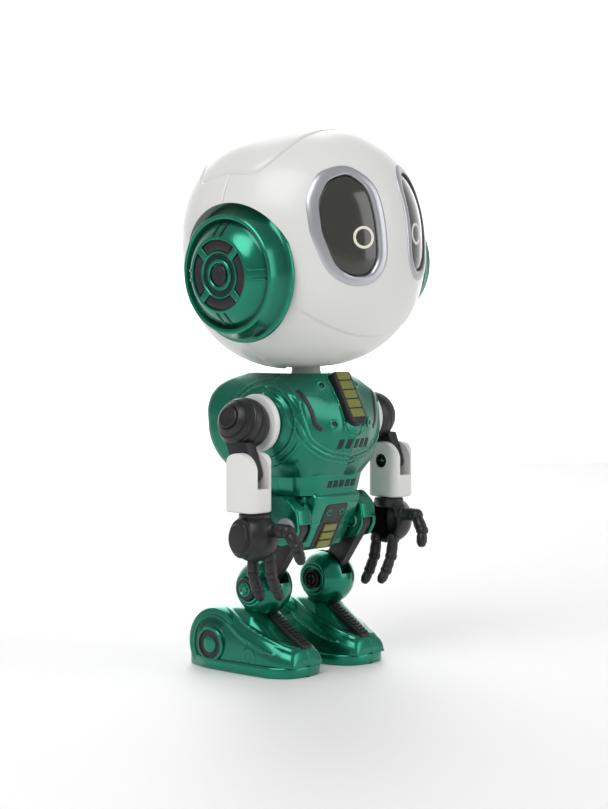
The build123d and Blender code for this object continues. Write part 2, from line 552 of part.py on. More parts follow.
for side, word in ((1, "left"), (-1, "right")):
    shoulder = Vector(side * SHOULDER[0], SHOULDER[1], SHOULDER[2])
    elbow = Vector(side * ELBOW[0], ELBOW[1], ELBOW[2])
    boss_dir = Vector(side * cos(radians(18)), 0, sin(radians(18)))
    outwards = (side, 0, 0)

    with BuildPart() as shoulder_disc:
        with Locations(Plane((side * DISC_IN, SHOULDER[1], SHOULDER[2]), z_dir=outwards)):
            Cylinder(6.2, DISC_OUT - DISC_IN, align=(Align.CENTER, Align.CENTER, Align.MIN))
            Cylinder(SHOULDER_SHAFT_R, 6, mode=Mode.SUBTRACT)
    save(shoulder_disc, f"shoulder_disc_{word}")

    with BuildPart() as upper_arm:
        with Locations(shoulder):
            Sphere(SHOULDER_R)
        with Locations((side * (DISC_OUT - 10), SHOULDER[1], SHOULDER[2])):
            Box(20, 20, 20, mode=Mode.SUBTRACT)
        with Locations(Plane(shoulder + boss_dir * 3.5, z_dir=boss_dir)):
            Cylinder(2.4, 2.0, align=(Align.CENTER, Align.CENTER, Align.MIN))
        with Locations(Plane(shoulder + boss_dir * 4.6, z_dir=boss_dir)):
            Cylinder(1.35, 3.0, align=(Align.CENTER, Align.CENTER, Align.MIN), mode=Mode.SUBTRACT)
        with Locations(Plane((side * 12.2, SHOULDER[1], SHOULDER[2]), z_dir=outwards)):
            Cylinder(SHOULDER_SHAFT_R, 7.5, align=(Align.CENTER, Align.CENTER, Align.MIN))
        with Locations(Plane((side * 12.2, SHOULDER[1], SHOULDER[2]), z_dir=outwards)):
            Cylinder(3.6, 1.4, align=(Align.CENTER, Align.CENTER, Align.MIN))
        with BuildSketch(Plane.YZ.offset(side * ELBOW[0] - TONGUE_T / 2)):
            Polygon((-7.6, 45.6), (-4.6, 52.0), (1.0, 52.0), (-2.0, 43.2), (-4.8, 42.0), align=None)
            with Locations((ELBOW[1], ELBOW[2])):
                Circle(TONGUE_R)
                Circle(1.0 + RUN, mode=Mode.SUBTRACT)
        extrude(amount=TONGUE_T)
    save(upper_arm, f"upper_arm_{word}")

    with BuildPart() as elbow_screw:
        with Locations(Plane(elbow - Vector(side * (SLEEVE_W / 2 - 0.2), 0, 0), z_dir=outwards)):
            Cylinder(1.55, 0.8, align=(Align.CENTER, Align.CENTER, Align.MIN))
            Cylinder(1.0, SLEEVE_W - 1.2, align=(Align.CENTER, Align.CENTER, Align.MIN))
            Box(2.2, 0.45, 1.0, mode=Mode.SUBTRACT)
            Box(0.45, 2.2, 1.0, mode=Mode.SUBTRACT)
    save(elbow_screw, f"elbow_screw_{word}")

    with BuildPart() as forearm:
        with BuildSketch(Plane.XY.offset(SLEEVE_BOTTOM)):
            with Locations((side * ELBOW[0], ELBOW[1])):
                RectangleRounded(SLEEVE_W, SLEEVE_D, 2.2)
        extrude(amount=ELBOW[2] - SLEEVE_BOTTOM)
        with Locations(Plane(elbow, z_dir=(1, 0, 0))):
            Cylinder(SLEEVE_D / 2, SLEEVE_W)
        with Locations((side * ELBOW[0], ELBOW[1] - 1.1, ELBOW[2] + 1.0)):
            Box(TONGUE_T + 2 * GAP, SLEEVE_D, 11.2, mode=Mode.SUBTRACT)
        with Locations((side * ELBOW[0], ELBOW[1], ELBOW[2] + 4.0)):
            Box(TONGUE_T + 2 * GAP, SLEEVE_D + 2, 9.6, mode=Mode.SUBTRACT)
        with Locations(Plane(elbow + Vector(-side * SLEEVE_W / 2, 0, 0), z_dir=outwards)):
            Cylinder(1.55, 2.0, mode=Mode.SUBTRACT)
            Cylinder(1.0, SLEEVE_W - 1.0, align=(Align.CENTER, Align.CENTER, Align.MIN), mode=Mode.SUBTRACT)
        with Locations((side * PALM[0], PALM[1], SLEEVE_BOTTOM)):
            Cylinder(WRIST_R + RUN, 7.0, mode=Mode.SUBTRACT)
    save(forearm, f"forearm_{word}")

    palm = Vector(side * PALM[0], PALM[1], PALM[2])
    with BuildPart() as hand:
        with Locations(palm):
            Sphere(PALM_R)
            Sphere(PALM_R - 0.9, mode=Mode.SUBTRACT)
        with Locations(Plane(palm + Vector(-side * 1.9, 0, 0), z_dir=(-side, 0, 0))):
            Cylinder(8, 8, align=(Align.CENTER, Align.CENTER, Align.MIN), mode=Mode.SUBTRACT)
        with Locations(Plane(palm + Vector(side * 4.4, 0, 0), z_dir=outwards)):
            Cylinder(3.4, 1.8, align=(Align.CENTER, Align.CENTER, Align.MIN))
        with Locations((side * PALM[0], PALM[1], PALM[2] + 4.6)):
            Cylinder(WRIST_R, 3.8, align=(Align.CENTER, Align.CENTER, Align.MIN))
        for chain in FINGERS:
            for start, end in zip(chain, chain[1:]):
                add(rod((side * start[0], *start[1:]), (side * end[0], *end[1:]), 1.35))
        for start, end in zip(THUMB, THUMB[1:]):
            add(rod((side * start[0], *start[1:]), (side * end[0], *end[1:]), 1.5))
    save(hand, f"hand_{word}")

# ---------------------------------------------------------------- legs and feet
FOOT_SIDE = (
    (-9.6, 1.0), (-9.0, 6.2), (-4.9, 8.0), (0.6, 12.0), (2.6, 14.6), (10.5, 13.6),
    (16.2, 12.2), (19.6, 8.8), (20.6, 1.0),
)
TREAD_SIDE = ((1.2, 11.2), (0.4, 12.9), (-9.4, 6.8), (-8.6, 5.2))
SLOT_FROM, SLOT_TO = -18, 78

for side, word in ((1, "left"), (-1, "right")):
    leg_x = side * LEG_X
    outwards = (side, 0, 0)
    joint = Vector(leg_x, BALL_Y, BALL_Z)

    with BuildPart() as hip_pin:
        with Locations(Plane((side * 7.8, HIP_Y, HIP_Z), z_dir=outwards)):
            Cylinder(1.5, HOOD_OUT - 7.8, align=(Align.CENTER, Align.CENTER, Align.MIN))
        with Locations(Plane((side * HOOD_OUT, HIP_Y, HIP_Z), z_dir=outwards)):
            Cylinder(2.2, 0.9, align=(Align.CENTER, Align.CENTER, Align.MIN))
    save(hip_pin, f"hip_pin_{word}")

    with BuildPart() as leg_link:
        with BuildSketch(Plane.YZ.offset(leg_x - LINK_T / 2)):
            with BuildLine():
                Polyline(
                    (HIP_Y - 2.0, HIP_Z - 1.6), (HIP_Y + 2.0, HIP_Z + 1.6),
                    (BALL_Y + 1.4, BALL_Z + 1.8), (BALL_Y - 2.0, BALL_Z - 0.6), close=True,
                )
            make_face()
            with Locations((HIP_Y, HIP_Z)):
                Circle(2.6)
            with Locations((BALL_Y, BALL_Z)):
                Circle(2.4)
            with Locations((HIP_Y, HIP_Z)):
                Circle(1.5 + RUN, mode=Mode.SUBTRACT)
            with Locations((BALL_Y, BALL_Z)):
                Circle(1.0 + RUN, mode=Mode.SUBTRACT)
        extrude(amount=LINK_T)
    save(leg_link, f"leg_link_{word}")

    with BuildPart() as knee_screw:
        with Locations(Plane(joint + Vector(-side * 5.6, 0, 0), z_dir=outwards)):
            Cylinder(2.1, 1.0, align=(Align.CENTER, Align.CENTER, Align.MIN))
            Cylinder(1.0, 9.6, align=(Align.CENTER, Align.CENTER, Align.MIN))
            Box(2.8, 0.5, 1.2, mode=Mode.SUBTRACT)
            Box(0.5, 2.8, 1.2, mode=Mode.SUBTRACT)
    save(knee_screw, f"knee_screw_{word}")

    with BuildPart() as knee_cap:
        with Locations(Plane(joint + Vector(side * 5.0, 0, 0), z_dir=outwards)):
            Cylinder(2.5, 1.4, align=(Align.CENTER, Align.CENTER, Align.MIN))
    save(knee_cap, f"knee_cap_{word}")

    with BuildPart() as foot_tread:
        add(side_prism(TREAD_SIDE, leg_x - side * 0.7 - 1.6, leg_x - side * 0.7 + 1.6))
    save(foot_tread, f"foot_tread_{word}")

    with BuildPart() as foot:
        with BuildSketch(Plane.XY):
            with Locations((leg_x, SOLE_Y)):
                RectangleRounded(SOLE_W, SOLE_L, 6.4)
        extrude(amount=SOLE_T)
        add(side_prism(FOOT_SIDE, leg_x - 5.6, leg_x + 5.6, 0.8))
        with Locations(Plane((leg_x, HEEL_Y, HEEL_Z), z_dir=(1, 0, 0))):
            Cylinder(HEEL_R, 11.8)
        with Locations(Plane((leg_x + side * 4.0, HEEL_Y, HEEL_Z), z_dir=outwards)):
            Cylinder(3.8, 3.4, align=(Align.CENTER, Align.CENTER, Align.MIN))
        with Locations(joint):
            Sphere(BALL_R)
        with Locations((leg_x, SOLE_Y, -6)):
            Box(40, 60, 12, mode=Mode.SUBTRACT)
        with BuildSketch(Plane.YZ.offset(leg_x - LINK_T / 2 - GAP)):
            reach = [radians(SLOT_FROM + (SLOT_TO - SLOT_FROM) * i / 4) for i in range(5)]
            fan = [(BALL_Y - 9 * sin(a), BALL_Z + 9 * cos(a)) for a in reach]
            Polygon((BALL_Y, BALL_Z), *reversed(fan), align=None)
            with Locations((BALL_Y, BALL_Z)):
                Circle(4.1)
        extrude(amount=LINK_T + 2 * GAP, mode=Mode.SUBTRACT)
        with Locations((leg_x - side * 7.6, BALL_Y, BALL_Z)):
            Box(6.0, 4.2, 4.2, mode=Mode.SUBTRACT)
        with Locations((leg_x + side * 8.0, BALL_Y, BALL_Z)):
            Box(6.0, 5.0, 5.0, mode=Mode.SUBTRACT)
        add(rod(joint - Vector(6, 0, 0), joint + Vector(6, 0, 0), 1.0, ball=False), mode=Mode.SUBTRACT)
        add(foot_tread.part, mode=Mode.SUBTRACT)

    for away, half in ((1, "outer"), (-1, "inner")):
        with BuildPart() as foot_half:
            with Locations((leg_x + side * away * 20, 0, 0)):
                Box(40, 80, 80)
            add(foot.part, mode=Mode.INTERSECT)
        save(foot_half, f"foot_{half}_half_{word}")
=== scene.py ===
# %% [markdown]
# # A posable toy robot, built piece by piece
#
# A small die-cast robot: a big round white head with drum ears and oval eyes, a green lacquered chest,
# black arms with white sleeves and cupped hands, and heavy green shoes. Each piece is a mesh computed in
# millimetres, drawn over a fixed frame of simple solids that says where it sits and what it moves with.

import bmesh
import bpy
import numpy as np
from math import cos, pi, radians, sin, sqrt
from mathutils import Matrix, Vector


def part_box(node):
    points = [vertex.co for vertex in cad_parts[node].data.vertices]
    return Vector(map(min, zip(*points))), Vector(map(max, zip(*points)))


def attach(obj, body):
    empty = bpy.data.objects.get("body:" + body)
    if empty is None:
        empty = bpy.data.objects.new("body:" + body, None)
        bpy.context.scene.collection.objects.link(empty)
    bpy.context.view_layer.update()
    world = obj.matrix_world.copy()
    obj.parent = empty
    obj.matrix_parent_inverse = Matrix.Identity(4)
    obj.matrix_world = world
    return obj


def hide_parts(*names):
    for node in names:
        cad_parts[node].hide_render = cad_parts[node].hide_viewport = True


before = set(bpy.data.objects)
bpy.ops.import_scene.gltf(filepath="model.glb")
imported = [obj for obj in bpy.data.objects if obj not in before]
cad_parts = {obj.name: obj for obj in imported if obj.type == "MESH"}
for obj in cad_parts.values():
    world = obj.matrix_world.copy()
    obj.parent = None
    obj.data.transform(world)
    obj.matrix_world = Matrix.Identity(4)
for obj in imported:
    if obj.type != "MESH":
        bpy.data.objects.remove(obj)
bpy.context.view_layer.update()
MM = 0.001

# %% [markdown]
# ## Finishes
#
# One function turns a screen colour into linear light, and one adds a shader node with its settings and
# links. Every finish is a Principled shader whose colour and roughness are stirred by noise scaled in
# real millimetres.

# %% Material helpers
def linear(code):
    """Linear RGBA of a six-digit sRGB colour."""
    channels = [int(code[i : i + 2], 16) / 255 for i in (0, 2, 4)]
    return [c / 12.92 if c <= 0.04045 else ((c + 0.055) / 1.055) ** 2.4 for c in channels] + [1.0]


def node(tree, kind, links=None, **settings):
    """Adds one shader node: settings are properties or input values, links are {input: output socket}."""
    made = tree.nodes.new("ShaderNode" + kind)
    for key, value in settings.items():
        if hasattr(made, key):
            setattr(made, key, value)
        else:
            made.inputs[key.replace("_", " ")].default_value = value
    for key, socket in (links or {}).items():
        tree.links.new(socket, made.inputs[key])
    return made


def finish(
    name, colour, other, grain_mm, rough, metallic=0.0, coat=0.0, bump_mm=0.0, bump_grain=0.3, hollow_shade=None,
):
    """A finish whose colour drifts between two tones over grain_mm, whose roughness spans rough, and whose
    hollows may carry painted shade.
    """
    made = bpy.data.materials.new(name)
    made.use_nodes = True
    tree = made.node_tree
    shader = tree.nodes["Principled BSDF"]
    shader.inputs["Metallic"].default_value = metallic
    shader.inputs["Coat Weight"].default_value = coat
    shader.inputs["Coat Roughness"].default_value = 0.12
    place = node(tree, "TexCoord").outputs["Object"]
    drift = node(tree, "TexNoise", {"Vector": place}, Scale=1 / (grain_mm * MM), Detail=3.0).outputs["Fac"]
    mix = node(tree, "Mix", {"Factor": drift}, data_type="RGBA")
    mix.inputs[6].default_value = linear(colour)
    mix.inputs[7].default_value = linear(other)
    shade = mix.outputs[2]
    # Painted shade: the given dark colour takes over where the surface is concave, darkening creases and
    # recesses as shade would.
    if hollow_shade:
        edge = node(tree, "NewGeometry").outputs["Pointiness"]
        keep = node(tree, "ValToRGB", {"Fac": edge})
        keep.color_ramp.elements[0].position = 0.44
        keep.color_ramp.elements[1].position = 0.52
        dark = node(tree, "Mix", {"Factor": keep.outputs["Color"]}, data_type="RGBA")
        tree.links.new(shade, dark.inputs[7])
        dark.inputs[6].default_value = linear(hollow_shade)
        shade = dark.outputs[2]
    tree.links.new(shade, shader.inputs["Base Color"])
    spread = node(tree, "MapRange", {"Value": drift}, To_Min=rough[0], To_Max=rough[1])
    tree.links.new(spread.outputs["Result"], shader.inputs["Roughness"])
    if bump_mm:
        fine = node(
            tree, "TexNoise", {"Vector": place}, Scale=1 / (bump_grain * MM), Detail=2.0,
        ).outputs["Fac"]
        bump = node(tree, "Bump", {"Height": fine}, Strength=0.6, Distance=bump_mm * MM)
        tree.links.new(bump.outputs["Normal"], shader.inputs["Normal"])
    print("finish:", name)
    return made


# %% [markdown]
# Die-cast zinc is sprayed silver and then a transparent green, mint where light strikes it; its hollows are
# darkened with painted shade. The plastics are satin mouldings; the eye surrounds are vacuum-metallised
# and then dulled with lacquer.

# %% The finishes
# Its last colour, 03392d, is painted shade laid into the green's hollows.
GREEN = finish(
    "zinc die casting, transparent green over silver",
    "0a7d62", "0e8c6f", 9.0, (0.22, 0.30), 0.86, 0.5, 0.010, 0.12, "03392d",
)
WHITE = finish(
    "white ABS, polished mould", "e9e9e7", "e2e2df", 14.0, (0.26, 0.36), coat=0.12, bump_mm=0.004,
)
SLEEVE = finish("white ABS, satin mould", "ececea", "e6e6e3", 8.0, (0.34, 0.44), bump_mm=0.004)
BLACK = finish("black ABS, satin mould", "17171a", "1f1f22", 5.0, (0.30, 0.42), bump_mm=0.006)
SILVER = finish(
    "vacuum-metallised plastic, dull lacquer", "c6c8cd", "b5b7bc", 6.0, (0.30, 0.38), 0.85, 0.2, 0.004,
)
LENS = finish("smoked acrylic, polished", "34362b", "23241d", 9.0, (0.08, 0.14), coat=0.8)
RING = finish("cream translucent moulding", "f1eee0", "e6e2cf", 3.0, (0.25, 0.35), coat=0.3)
OLIVE = finish("olive moulding, satin", "84883a", "70752b", 2.0, (0.36, 0.48), coat=0.2, bump_mm=0.01)
MARK = finish("screen-printed dark ink", "12241e", "0b1814", 1.0, (0.5, 0.6))
STEEL = finish("black-oxide steel", "242426", "313133", 1.0, (0.35, 0.5), 0.9, bump_mm=0.01)
NICKEL = finish("nickel-plated steel", "c9c8c2", "b4b3ad", 3.0, (0.22, 0.32), 1.0)
BOARD = finish("solder mask on glass fibre", "0c4a24", "0a3d1e", 1.5, (0.35, 0.5), bump_mm=0.01)
GREY = finish("light grey ABS", "b9babd", "acadaf", 3.0, (0.3, 0.42))

# %% [markdown]
# ## Mesh tools
#
# A piece is gathered from patches in a `Kit`: turned profiles, ring-to-ring skins and bevelled blocks,
# each with its own finish. `place` then ties the finished mesh to the frame node that it stands for.

class Kit:
    """Collects faces in millimetres, with a finish for each."""

    def __init__(self):
        self.mesh = bmesh.new()
        self.finishes = []

    def slot(self, look):
        if look not in self.finishes:
            self.finishes.append(look)
        return self.finishes.index(look)

    def skin(self, rings, look, closed=True, cap_start=False, cap_end=False, matrix=None):
        """Joins rows of points into faces; closed rows wrap round."""
        move = matrix or Matrix()
        rows = [[self.mesh.verts.new(move @ Vector(p)) for p in ring] for ring in rings]
        count = len(rows[0])
        index = self.slot(look)
        for low, high in zip(rows, rows[1:]):
            for i in range(count if closed else count - 1):
                j = (i + 1) % count
                face = self.mesh.faces.new((low[i], low[j], high[j], high[i]))
                face.material_index = index
                face.smooth = True
        for wanted, row in ((cap_start, rows[0][::-1]), (cap_end, rows[-1])):
            if wanted:
                face = self.mesh.faces.new(row)
                face.material_index = index
        return rows

    def turn(self, profile, matrix, look, steps=64, arc=(0, 360)):
        """A turned shape: profile is (radius, height) along the matrix's Z axis."""
        whole = arc[1] - arc[0] >= 360
        count = steps if whole else steps + 1
        angles = [radians(arc[0] + (arc[1] - arc[0]) * i / steps) for i in range(count)]
        rings = [[(r * cos(a), r * sin(a), h) for a in angles] for r, h in profile]
        start, end = (whole and abs(profile[k][0]) < 0.05 for k in (0, -1))
        self.skin(rings, look, closed=whole, cap_start=start, cap_end=end, matrix=matrix)

    def block(self, outline, low, high, look, matrix=None, soft=0.3, steps=3):
        """A flat outline pulled from low to high, with both rims rounded by soft."""
        points = np.array(outline, float)
        rows = [(low + soft * (1 - cos(a)), soft * (1 - sin(a))) for a in np.linspace(0, pi / 2, steps + 1)]
        rows += [
            (high - soft * (1 - sin(a)), soft * (1 - cos(a))) for a in np.linspace(0, pi / 2, steps + 1)
        ]
        rings = [[(x, y, h) for x, y in inset(points, d)] for h, d in rows]
        self.skin(rings, look, cap_start=True, cap_end=True, matrix=matrix)

    def finish(self, name, sharp=35):
        """The gathered faces as one object, in metres."""
        bmesh.ops.remove_doubles(self.mesh, verts=self.mesh.verts, dist=0.0005)
        bmesh.ops.recalc_face_normals(self.mesh, faces=self.mesh.faces)
        bmesh.ops.scale(self.mesh, vec=(MM, MM, MM), verts=self.mesh.verts)
        data = bpy.data.meshes.new(name)
        self.mesh.to_mesh(data)
        self.mesh.free()
        for look in self.finishes:
            data.materials.append(look)
        data.set_sharp_from_angle(angle=radians(sharp))
        made = bpy.data.objects.new(name, data)
        bpy.context.scene.collection.objects.link(made)
        return made


def inset(points, amount):
    """The outline moved inwards by amount."""
    if amount == 0:
        return points
    back = points - np.roll(points, 1, axis=0)
    ahead = np.roll(points, -1, axis=0) - points
    area = np.sum(points[:, 0] * np.roll(points[:, 1], -1) - np.roll(points[:, 0], -1) * points[:, 1])
    normals = []
    for edge in (back, ahead):
        length = np.linalg.norm(edge, axis=1, keepdims=True)
        normals.append(
            np.column_stack([-edge[:, 1], edge[:, 0]]) / np.maximum(length, 1e-9) * np.sign(area)
        )
    middle = normals[0] + normals[1]
    return points + middle * amount / np.maximum(
        1 + np.sum(normals[0] * normals[1], axis=1, keepdims=True), 0.35,
    )


def rounded(corners, radius, steps=5):
    """A polygon with its corners rounded; radius may be one number or one per corner."""
    points = [np.array(c, float) for c in corners]
    radii = radius if isinstance(radius, (list, tuple)) else [radius] * len(points)
    out = []
    for i, (here, r) in enumerate(zip(points, radii)):
        a = points[i - 1] - here
        b = points[(i + 1) % len(points)] - here
        la, lb = np.linalg.norm(a), np.linalg.norm(b)
        a, b = a / la, b / lb
        half = np.arccos(np.clip(a @ b, -1, 1)) / 2
        reach = min(r / np.tan(half), 0.49 * la, 0.49 * lb)
        r_used = reach * np.tan(half)
        centre = here + (a + b) / np.linalg.norm(a + b) * r_used / sin(half)
        start, end = here + a * reach - centre, here + b * reach - centre
        sweep = np.arctan2(start[0] * end[1] - start[1] * end[0], start @ end)
        for k in range(steps + 1):
            t = sweep * k / steps
            out.append(
                centre + [start[0] * cos(t) - start[1] * sin(t), start[0] * sin(t) + start[1] * cos(t)]
            )
    return np.array(out)


def aim(origin, axis, across=(0, 0, 1)):
    """A matrix whose Z runs along axis and whose X is as close to across as it can be."""
    z = Vector(axis).normalized()
    x = Vector(across)
    x = x - z * x.dot(z)
    if x.length < 1e-6:
        x = Vector((1, 0, 0)) - z * z.x
    x.normalize()
    y = z.cross(x)
    return Matrix(
        (( x.x, y.x, z.x, origin[0]), (x.y, y.y, z.y, origin[1]), (x.z, y.z, z.z, origin[2]), (0, 0, 0, 1))
    )


def place(made, name, body, slot=None):
    """Ties a piece to the frame: it stands for the node and moves with the body; slot is not used."""
    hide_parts(name)
    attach(made, body)
    low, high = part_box(name)
    points = np.array([v.co[:] for v in made.data.vertices])
    over = max(np.max(np.array(low) - points.min(0)), np.max(points.max(0) - np.array(high))) / MM
    note = f", {over:.2f} mm outside its node" if over > 0.02 else ""
    print(f"{name}: {len(made.data.polygons)} faces{note}")
    return made


def cut(made, tool):
    """Cuts one closed object out of another."""
    change = made.modifiers.new("cut", "BOOLEAN")
    change.object = tool
    change.operation = "DIFFERENCE"
    change.solver = "EXACT"
    bpy.context.view_layer.objects.active = made
    bpy.ops.object.modifier_apply(modifier="cut")
    bpy.data.objects.remove(tool)
    made.data.set_sharp_from_angle(angle=radians(35))


def smooth_step(t):
    """0 below 0, 1 above 1, with an even rise between."""
    t = np.clip(t, 0, 1)
    return t * t * (3 - 2 * t)


TO_SIDE = Matrix(
    ((0, 0, 1, 0), (1, 0, 0, 0), (0, 1, 0, 0), (0, 0, 0, 1))
)  # an outline in (y, z), pulled along X
# Places shared by neighbouring pieces, on the robot's left side: (x, y, z), or (y, z) for the leg's two
AXIS = 0.02  # a radius so small that a turned end closes
NECK, SHOULDER, ELBOW, PALM = (0, 0, 80), (21.1, -1.1, 54.2), (23.55, -4.8, 44.2), (22.3, -5.3, 30.7)
HIP, HEEL, LEG_X, BALL_Y, BALL_Z, BALL_R = (-6.2, 31.8), (12.4, 5.4), 10.5, 2.9, 18.2, 6.15
SWITCH = (0, 7.4, 40.6)

# %% [markdown]
# ## Head
#
# The head is a solid of revolution a little squarer than a ball, leaning a few degrees to its right. Its
# pieces are worked out in the head's own frame: X towards its left ear, Y towards its back, Z up.

# %% Head form
HEAD_R, HEAD_POWER, HEAD_TILT = 26.4, 2.3, radians(4.2)
HEAD_LIFT = 11.7  # the head's centre above the neck joint
HEAD_MATRIX = Matrix.Translation(NECK) @ Matrix.Rotation(-HEAD_TILT, 4, "Y")
HEAD_MATRIX = HEAD_MATRIX @ Matrix.Translation((0, 0, HEAD_LIFT))


def head_radius(z, grow=0.0):
    """Radius of the head at a height above its centre."""
    size = HEAD_R + grow
    return size * np.maximum(1 - np.abs(z / size) ** HEAD_POWER, 0) ** (1 / HEAD_POWER)


def on_face(x, z, grow=0.0):
    """The point of the face in front of (x, z)."""
    r = head_radius(z, grow)
    return (x, -sqrt(max(r * r - x * x, 0.01)), z)


EYE_OUTLINE = rounded(
    [
        (-2.9, 12.9), (3.6, 11.0), (7.4, 5.6), (7.9, -1.5), (5.6, -9.6), (1.4, -12.7), (-4.6, -13.0),
        (-7.7, -8.0), (-7.5, 8.2),
    ],
    [4.0, 5.0, 6.0, 8.0, 6.0, 5.0, 4.5, 6.0, 5.5], 6,
)


def softened(outline, reach, count=120):
    """The outline with every corner eased over about reach millimetres."""
    closed = np.vstack([outline, outline[:1]])
    length = np.concatenate([[0], np.cumsum(np.linalg.norm(np.diff(closed, axis=0), axis=1))])
    where = np.linspace(0, length[-1], count, endpoint=False)
    even = np.column_stack([np.interp(where, length, closed[:, k]) for k in (0, 1)])
    away = np.minimum(np.arange(count), count - np.arange(count)) * length[-1] / count
    weight = np.exp(-0.5 * (away / reach) ** 2)
    weight /= weight.sum()
    return np.array([weight @ np.roll(even, -i, axis=0) for i in range(count)])


EYE_OUTLINE = softened(inset(EYE_OUTLINE, -0.2), 1.25) + [11.0, 4.9]


def eye_ring(side, amount, grow):
    """The eye's outline, inset by amount, lying on the face."""
    return [on_face(side * x, z, grow) for x, z in inset(EYE_OUTLINE, amount)]


def eye_depth(x, z):
    """Distance inside the eye's outline, negative outside."""
    ends = np.roll(EYE_OUTLINE, -1, axis=0)
    p = np.array([abs(x), z])
    edge = ends - EYE_OUTLINE
    t = np.clip(np.sum((p - EYE_OUTLINE) * edge, axis=1) / np.sum(edge * edge, axis=1), 0, 1)
    away = np.linalg.norm(EYE_OUTLINE + edge * t[:, None] - p, axis=1).min()
    cross = (EYE_OUTLINE[:, 1] > p[1]) != (ends[:, 1] > p[1])
    hit = EYE_OUTLINE[:, 0] + (p[1] - EYE_OUTLINE[:, 1]) / np.where(
        cross, ends[:, 1] - EYE_OUTLINE[:, 1], 1,
    ) * edge[:, 0]
    return away if np.sum(cross & (hit > p[0])) % 2 else -away


# %% [markdown]
# The two shells meet at a fine seam over the ears. The front one is pushed in under the eyes, and it has
# a low step along the cheeks where the face mask ends. Both are cut square where the ear drums sit.

# %% Head shells
EAR_Y, EAR_Z, EAR_R, EAR_SEAT = -1.7, -4.2, 14.7, 21.5


def mask_step(x, y, z):
    """Height of the face mask over the cheeks, fading towards the ears."""
    if y > 0:
        return 0.0
    edge = -19.2 + (29.8 - sqrt(max(29.8**2 - x * x, 0))) if abs(x) < 29 else 10
    inside = smooth_step((z - edge + 0.22) / 0.44)
    fade = smooth_step((21.5 - abs(x)) / 4)
    return float(0.32 * (inside - 1) * fade)


def head_shell(front):
    """One half of the head, with its eye recesses, cheek step and the bed of the crown plate."""
    kit = Kit()
    turns = np.linspace(pi, 2 * pi, 221) if front else np.linspace(0, pi, 161)
    gap = -0.05 if front else 0.05
    rows = []
    low = head_radius_angle(7.5)
    for a in np.linspace(low, pi / 2 - 0.002, 190):
        c, s = max(cos(a), 0) ** (2 / HEAD_POWER), abs(sin(a)) ** (2 / HEAD_POWER) * np.sign(sin(a))
        row = []
        for t in turns:
            r, z = HEAD_R * c, HEAD_R * s
            x, y = r * cos(t), r * sin(t)
            push = mask_step(x, y, z) if front and -26 < z < 0 else 0.0
            if front and y < 0 and 2 < abs(x) < 20 and -9.5 < z < 19.5:
                push -= 1.7 * float(smooth_step((eye_depth(x, z) - 0.7) / 0.7))
            seam = min(abs(t - turns[0]), abs(t - turns[-1])) * r
            push -= 0.22 * float(1 - smooth_step(seam / 0.28))
            push -= 0.9 * float(smooth_step((1.035 - crown_reach(x, y)) / 0.015)) if z > 10 else 0.0
            scale = 1 + push / HEAD_R
            row.append((x * scale, y * scale + gap, z * scale))
        rows.append(row)
    kit.skin(rows, WHITE, cap_start=True, cap_end=True, matrix=HEAD_MATRIX)
    return kit.finish("head_front" if front else "head_rear")


def crown_reach(x, y):
    """1 on the crown plate's outline, less inside it."""
    return ((abs(x) / 21.4) ** 4 + (abs(y - 1.5) / 11.7) ** 4) ** 0.25


def head_radius_angle(radius):
    """The profile's parameter where the underside reaches a radius."""
    return -np.arccos((radius / HEAD_R) ** (HEAD_POWER / 2))


def ear_matrix(side):
    """The ear's own frame, on its seat."""
    return HEAD_MATRIX @ aim((side * EAR_SEAT, EAR_Y, EAR_Z), (side, 0, 0))


for front, name in ((True, "head_front_shell"), (False, "head_rear_shell")):
    shell = head_shell(front)
    for side in (-1, 1):
        tool = Kit()
        tool.turn(
            [(AXIS, 0), (EAR_R + 0.06, 0), (EAR_R + 0.06, 9), (AXIS, 9)], ear_matrix(side), WHITE, 128,
        )
        cut(shell, tool.finish("tool"))
    tool = Kit()
    tool.turn([(AXIS, -30), (7.5, -30), (7.5, -20), (AXIS, -20)], HEAD_MATRIX, WHITE, 64)
    cut(shell, tool.finish("tool"))
    place(shell, name, "head")

# %% [markdown]
# The crown is a thin plate with squared ends, lying on the head with a crisp rim all round.

# %% Crown plate
def crown():
    """The crown plate, a squared oval following the head."""
    kit = Kit()
    turns = np.linspace(0, 2 * pi, 160, endpoint=False)
    rows = []
    for t, lift in (
        (0.004, 0.42), (0.25, 0.42), (0.5, 0.42), (0.7, 0.42), (0.85, 0.42), (0.95, 0.42), (0.975, 0.40),
        (0.99, 0.30), (1.0, 0.12), (1.003, -0.3),
    ):
        row = []
        for a in turns:
            x = 21.4 * t * abs(cos(a)) ** 0.5 * np.sign(cos(a))
            y = 11.7 * t * abs(sin(a)) ** 0.5 * np.sign(sin(a)) + 1.5
            r = sqrt(x * x + y * y)
            size = HEAD_R + lift - 0.42
            row.append((x, y, size * max(1 - (r / size) ** HEAD_POWER, 0) ** (1 / HEAD_POWER) + 0.02))
        rows.append(row)
    kit.skin(rows, WHITE, cap_start=True, matrix=HEAD_MATRIX)
    return kit.finish("crown", 50)


place(crown(), "head_crown_panel", "head")

# %% [markdown]
# ## Eyes
#
# Each eye is a dulled silver surround with a rolled lip, a dark glossy lens a little below it, and a
# cream ring that lights up from the lamp behind.

# %% Eyes
def eye_bezel(side):
    kit = Kit()
    lip = (
        (0.14, -0.6), (0.14, -0.05), (0.22, 0.14), (0.42, 0.24), (0.75, 0.26), (1.5, 0.20), (1.9, 0.12),
        (2.08, -0.02), (2.2, -0.3), (2.25, -0.9),
    )
    kit.skin([eye_ring(side, away, lift) for away, lift in lip], SILVER, matrix=HEAD_MATRIX)
    return kit.finish("bezel")


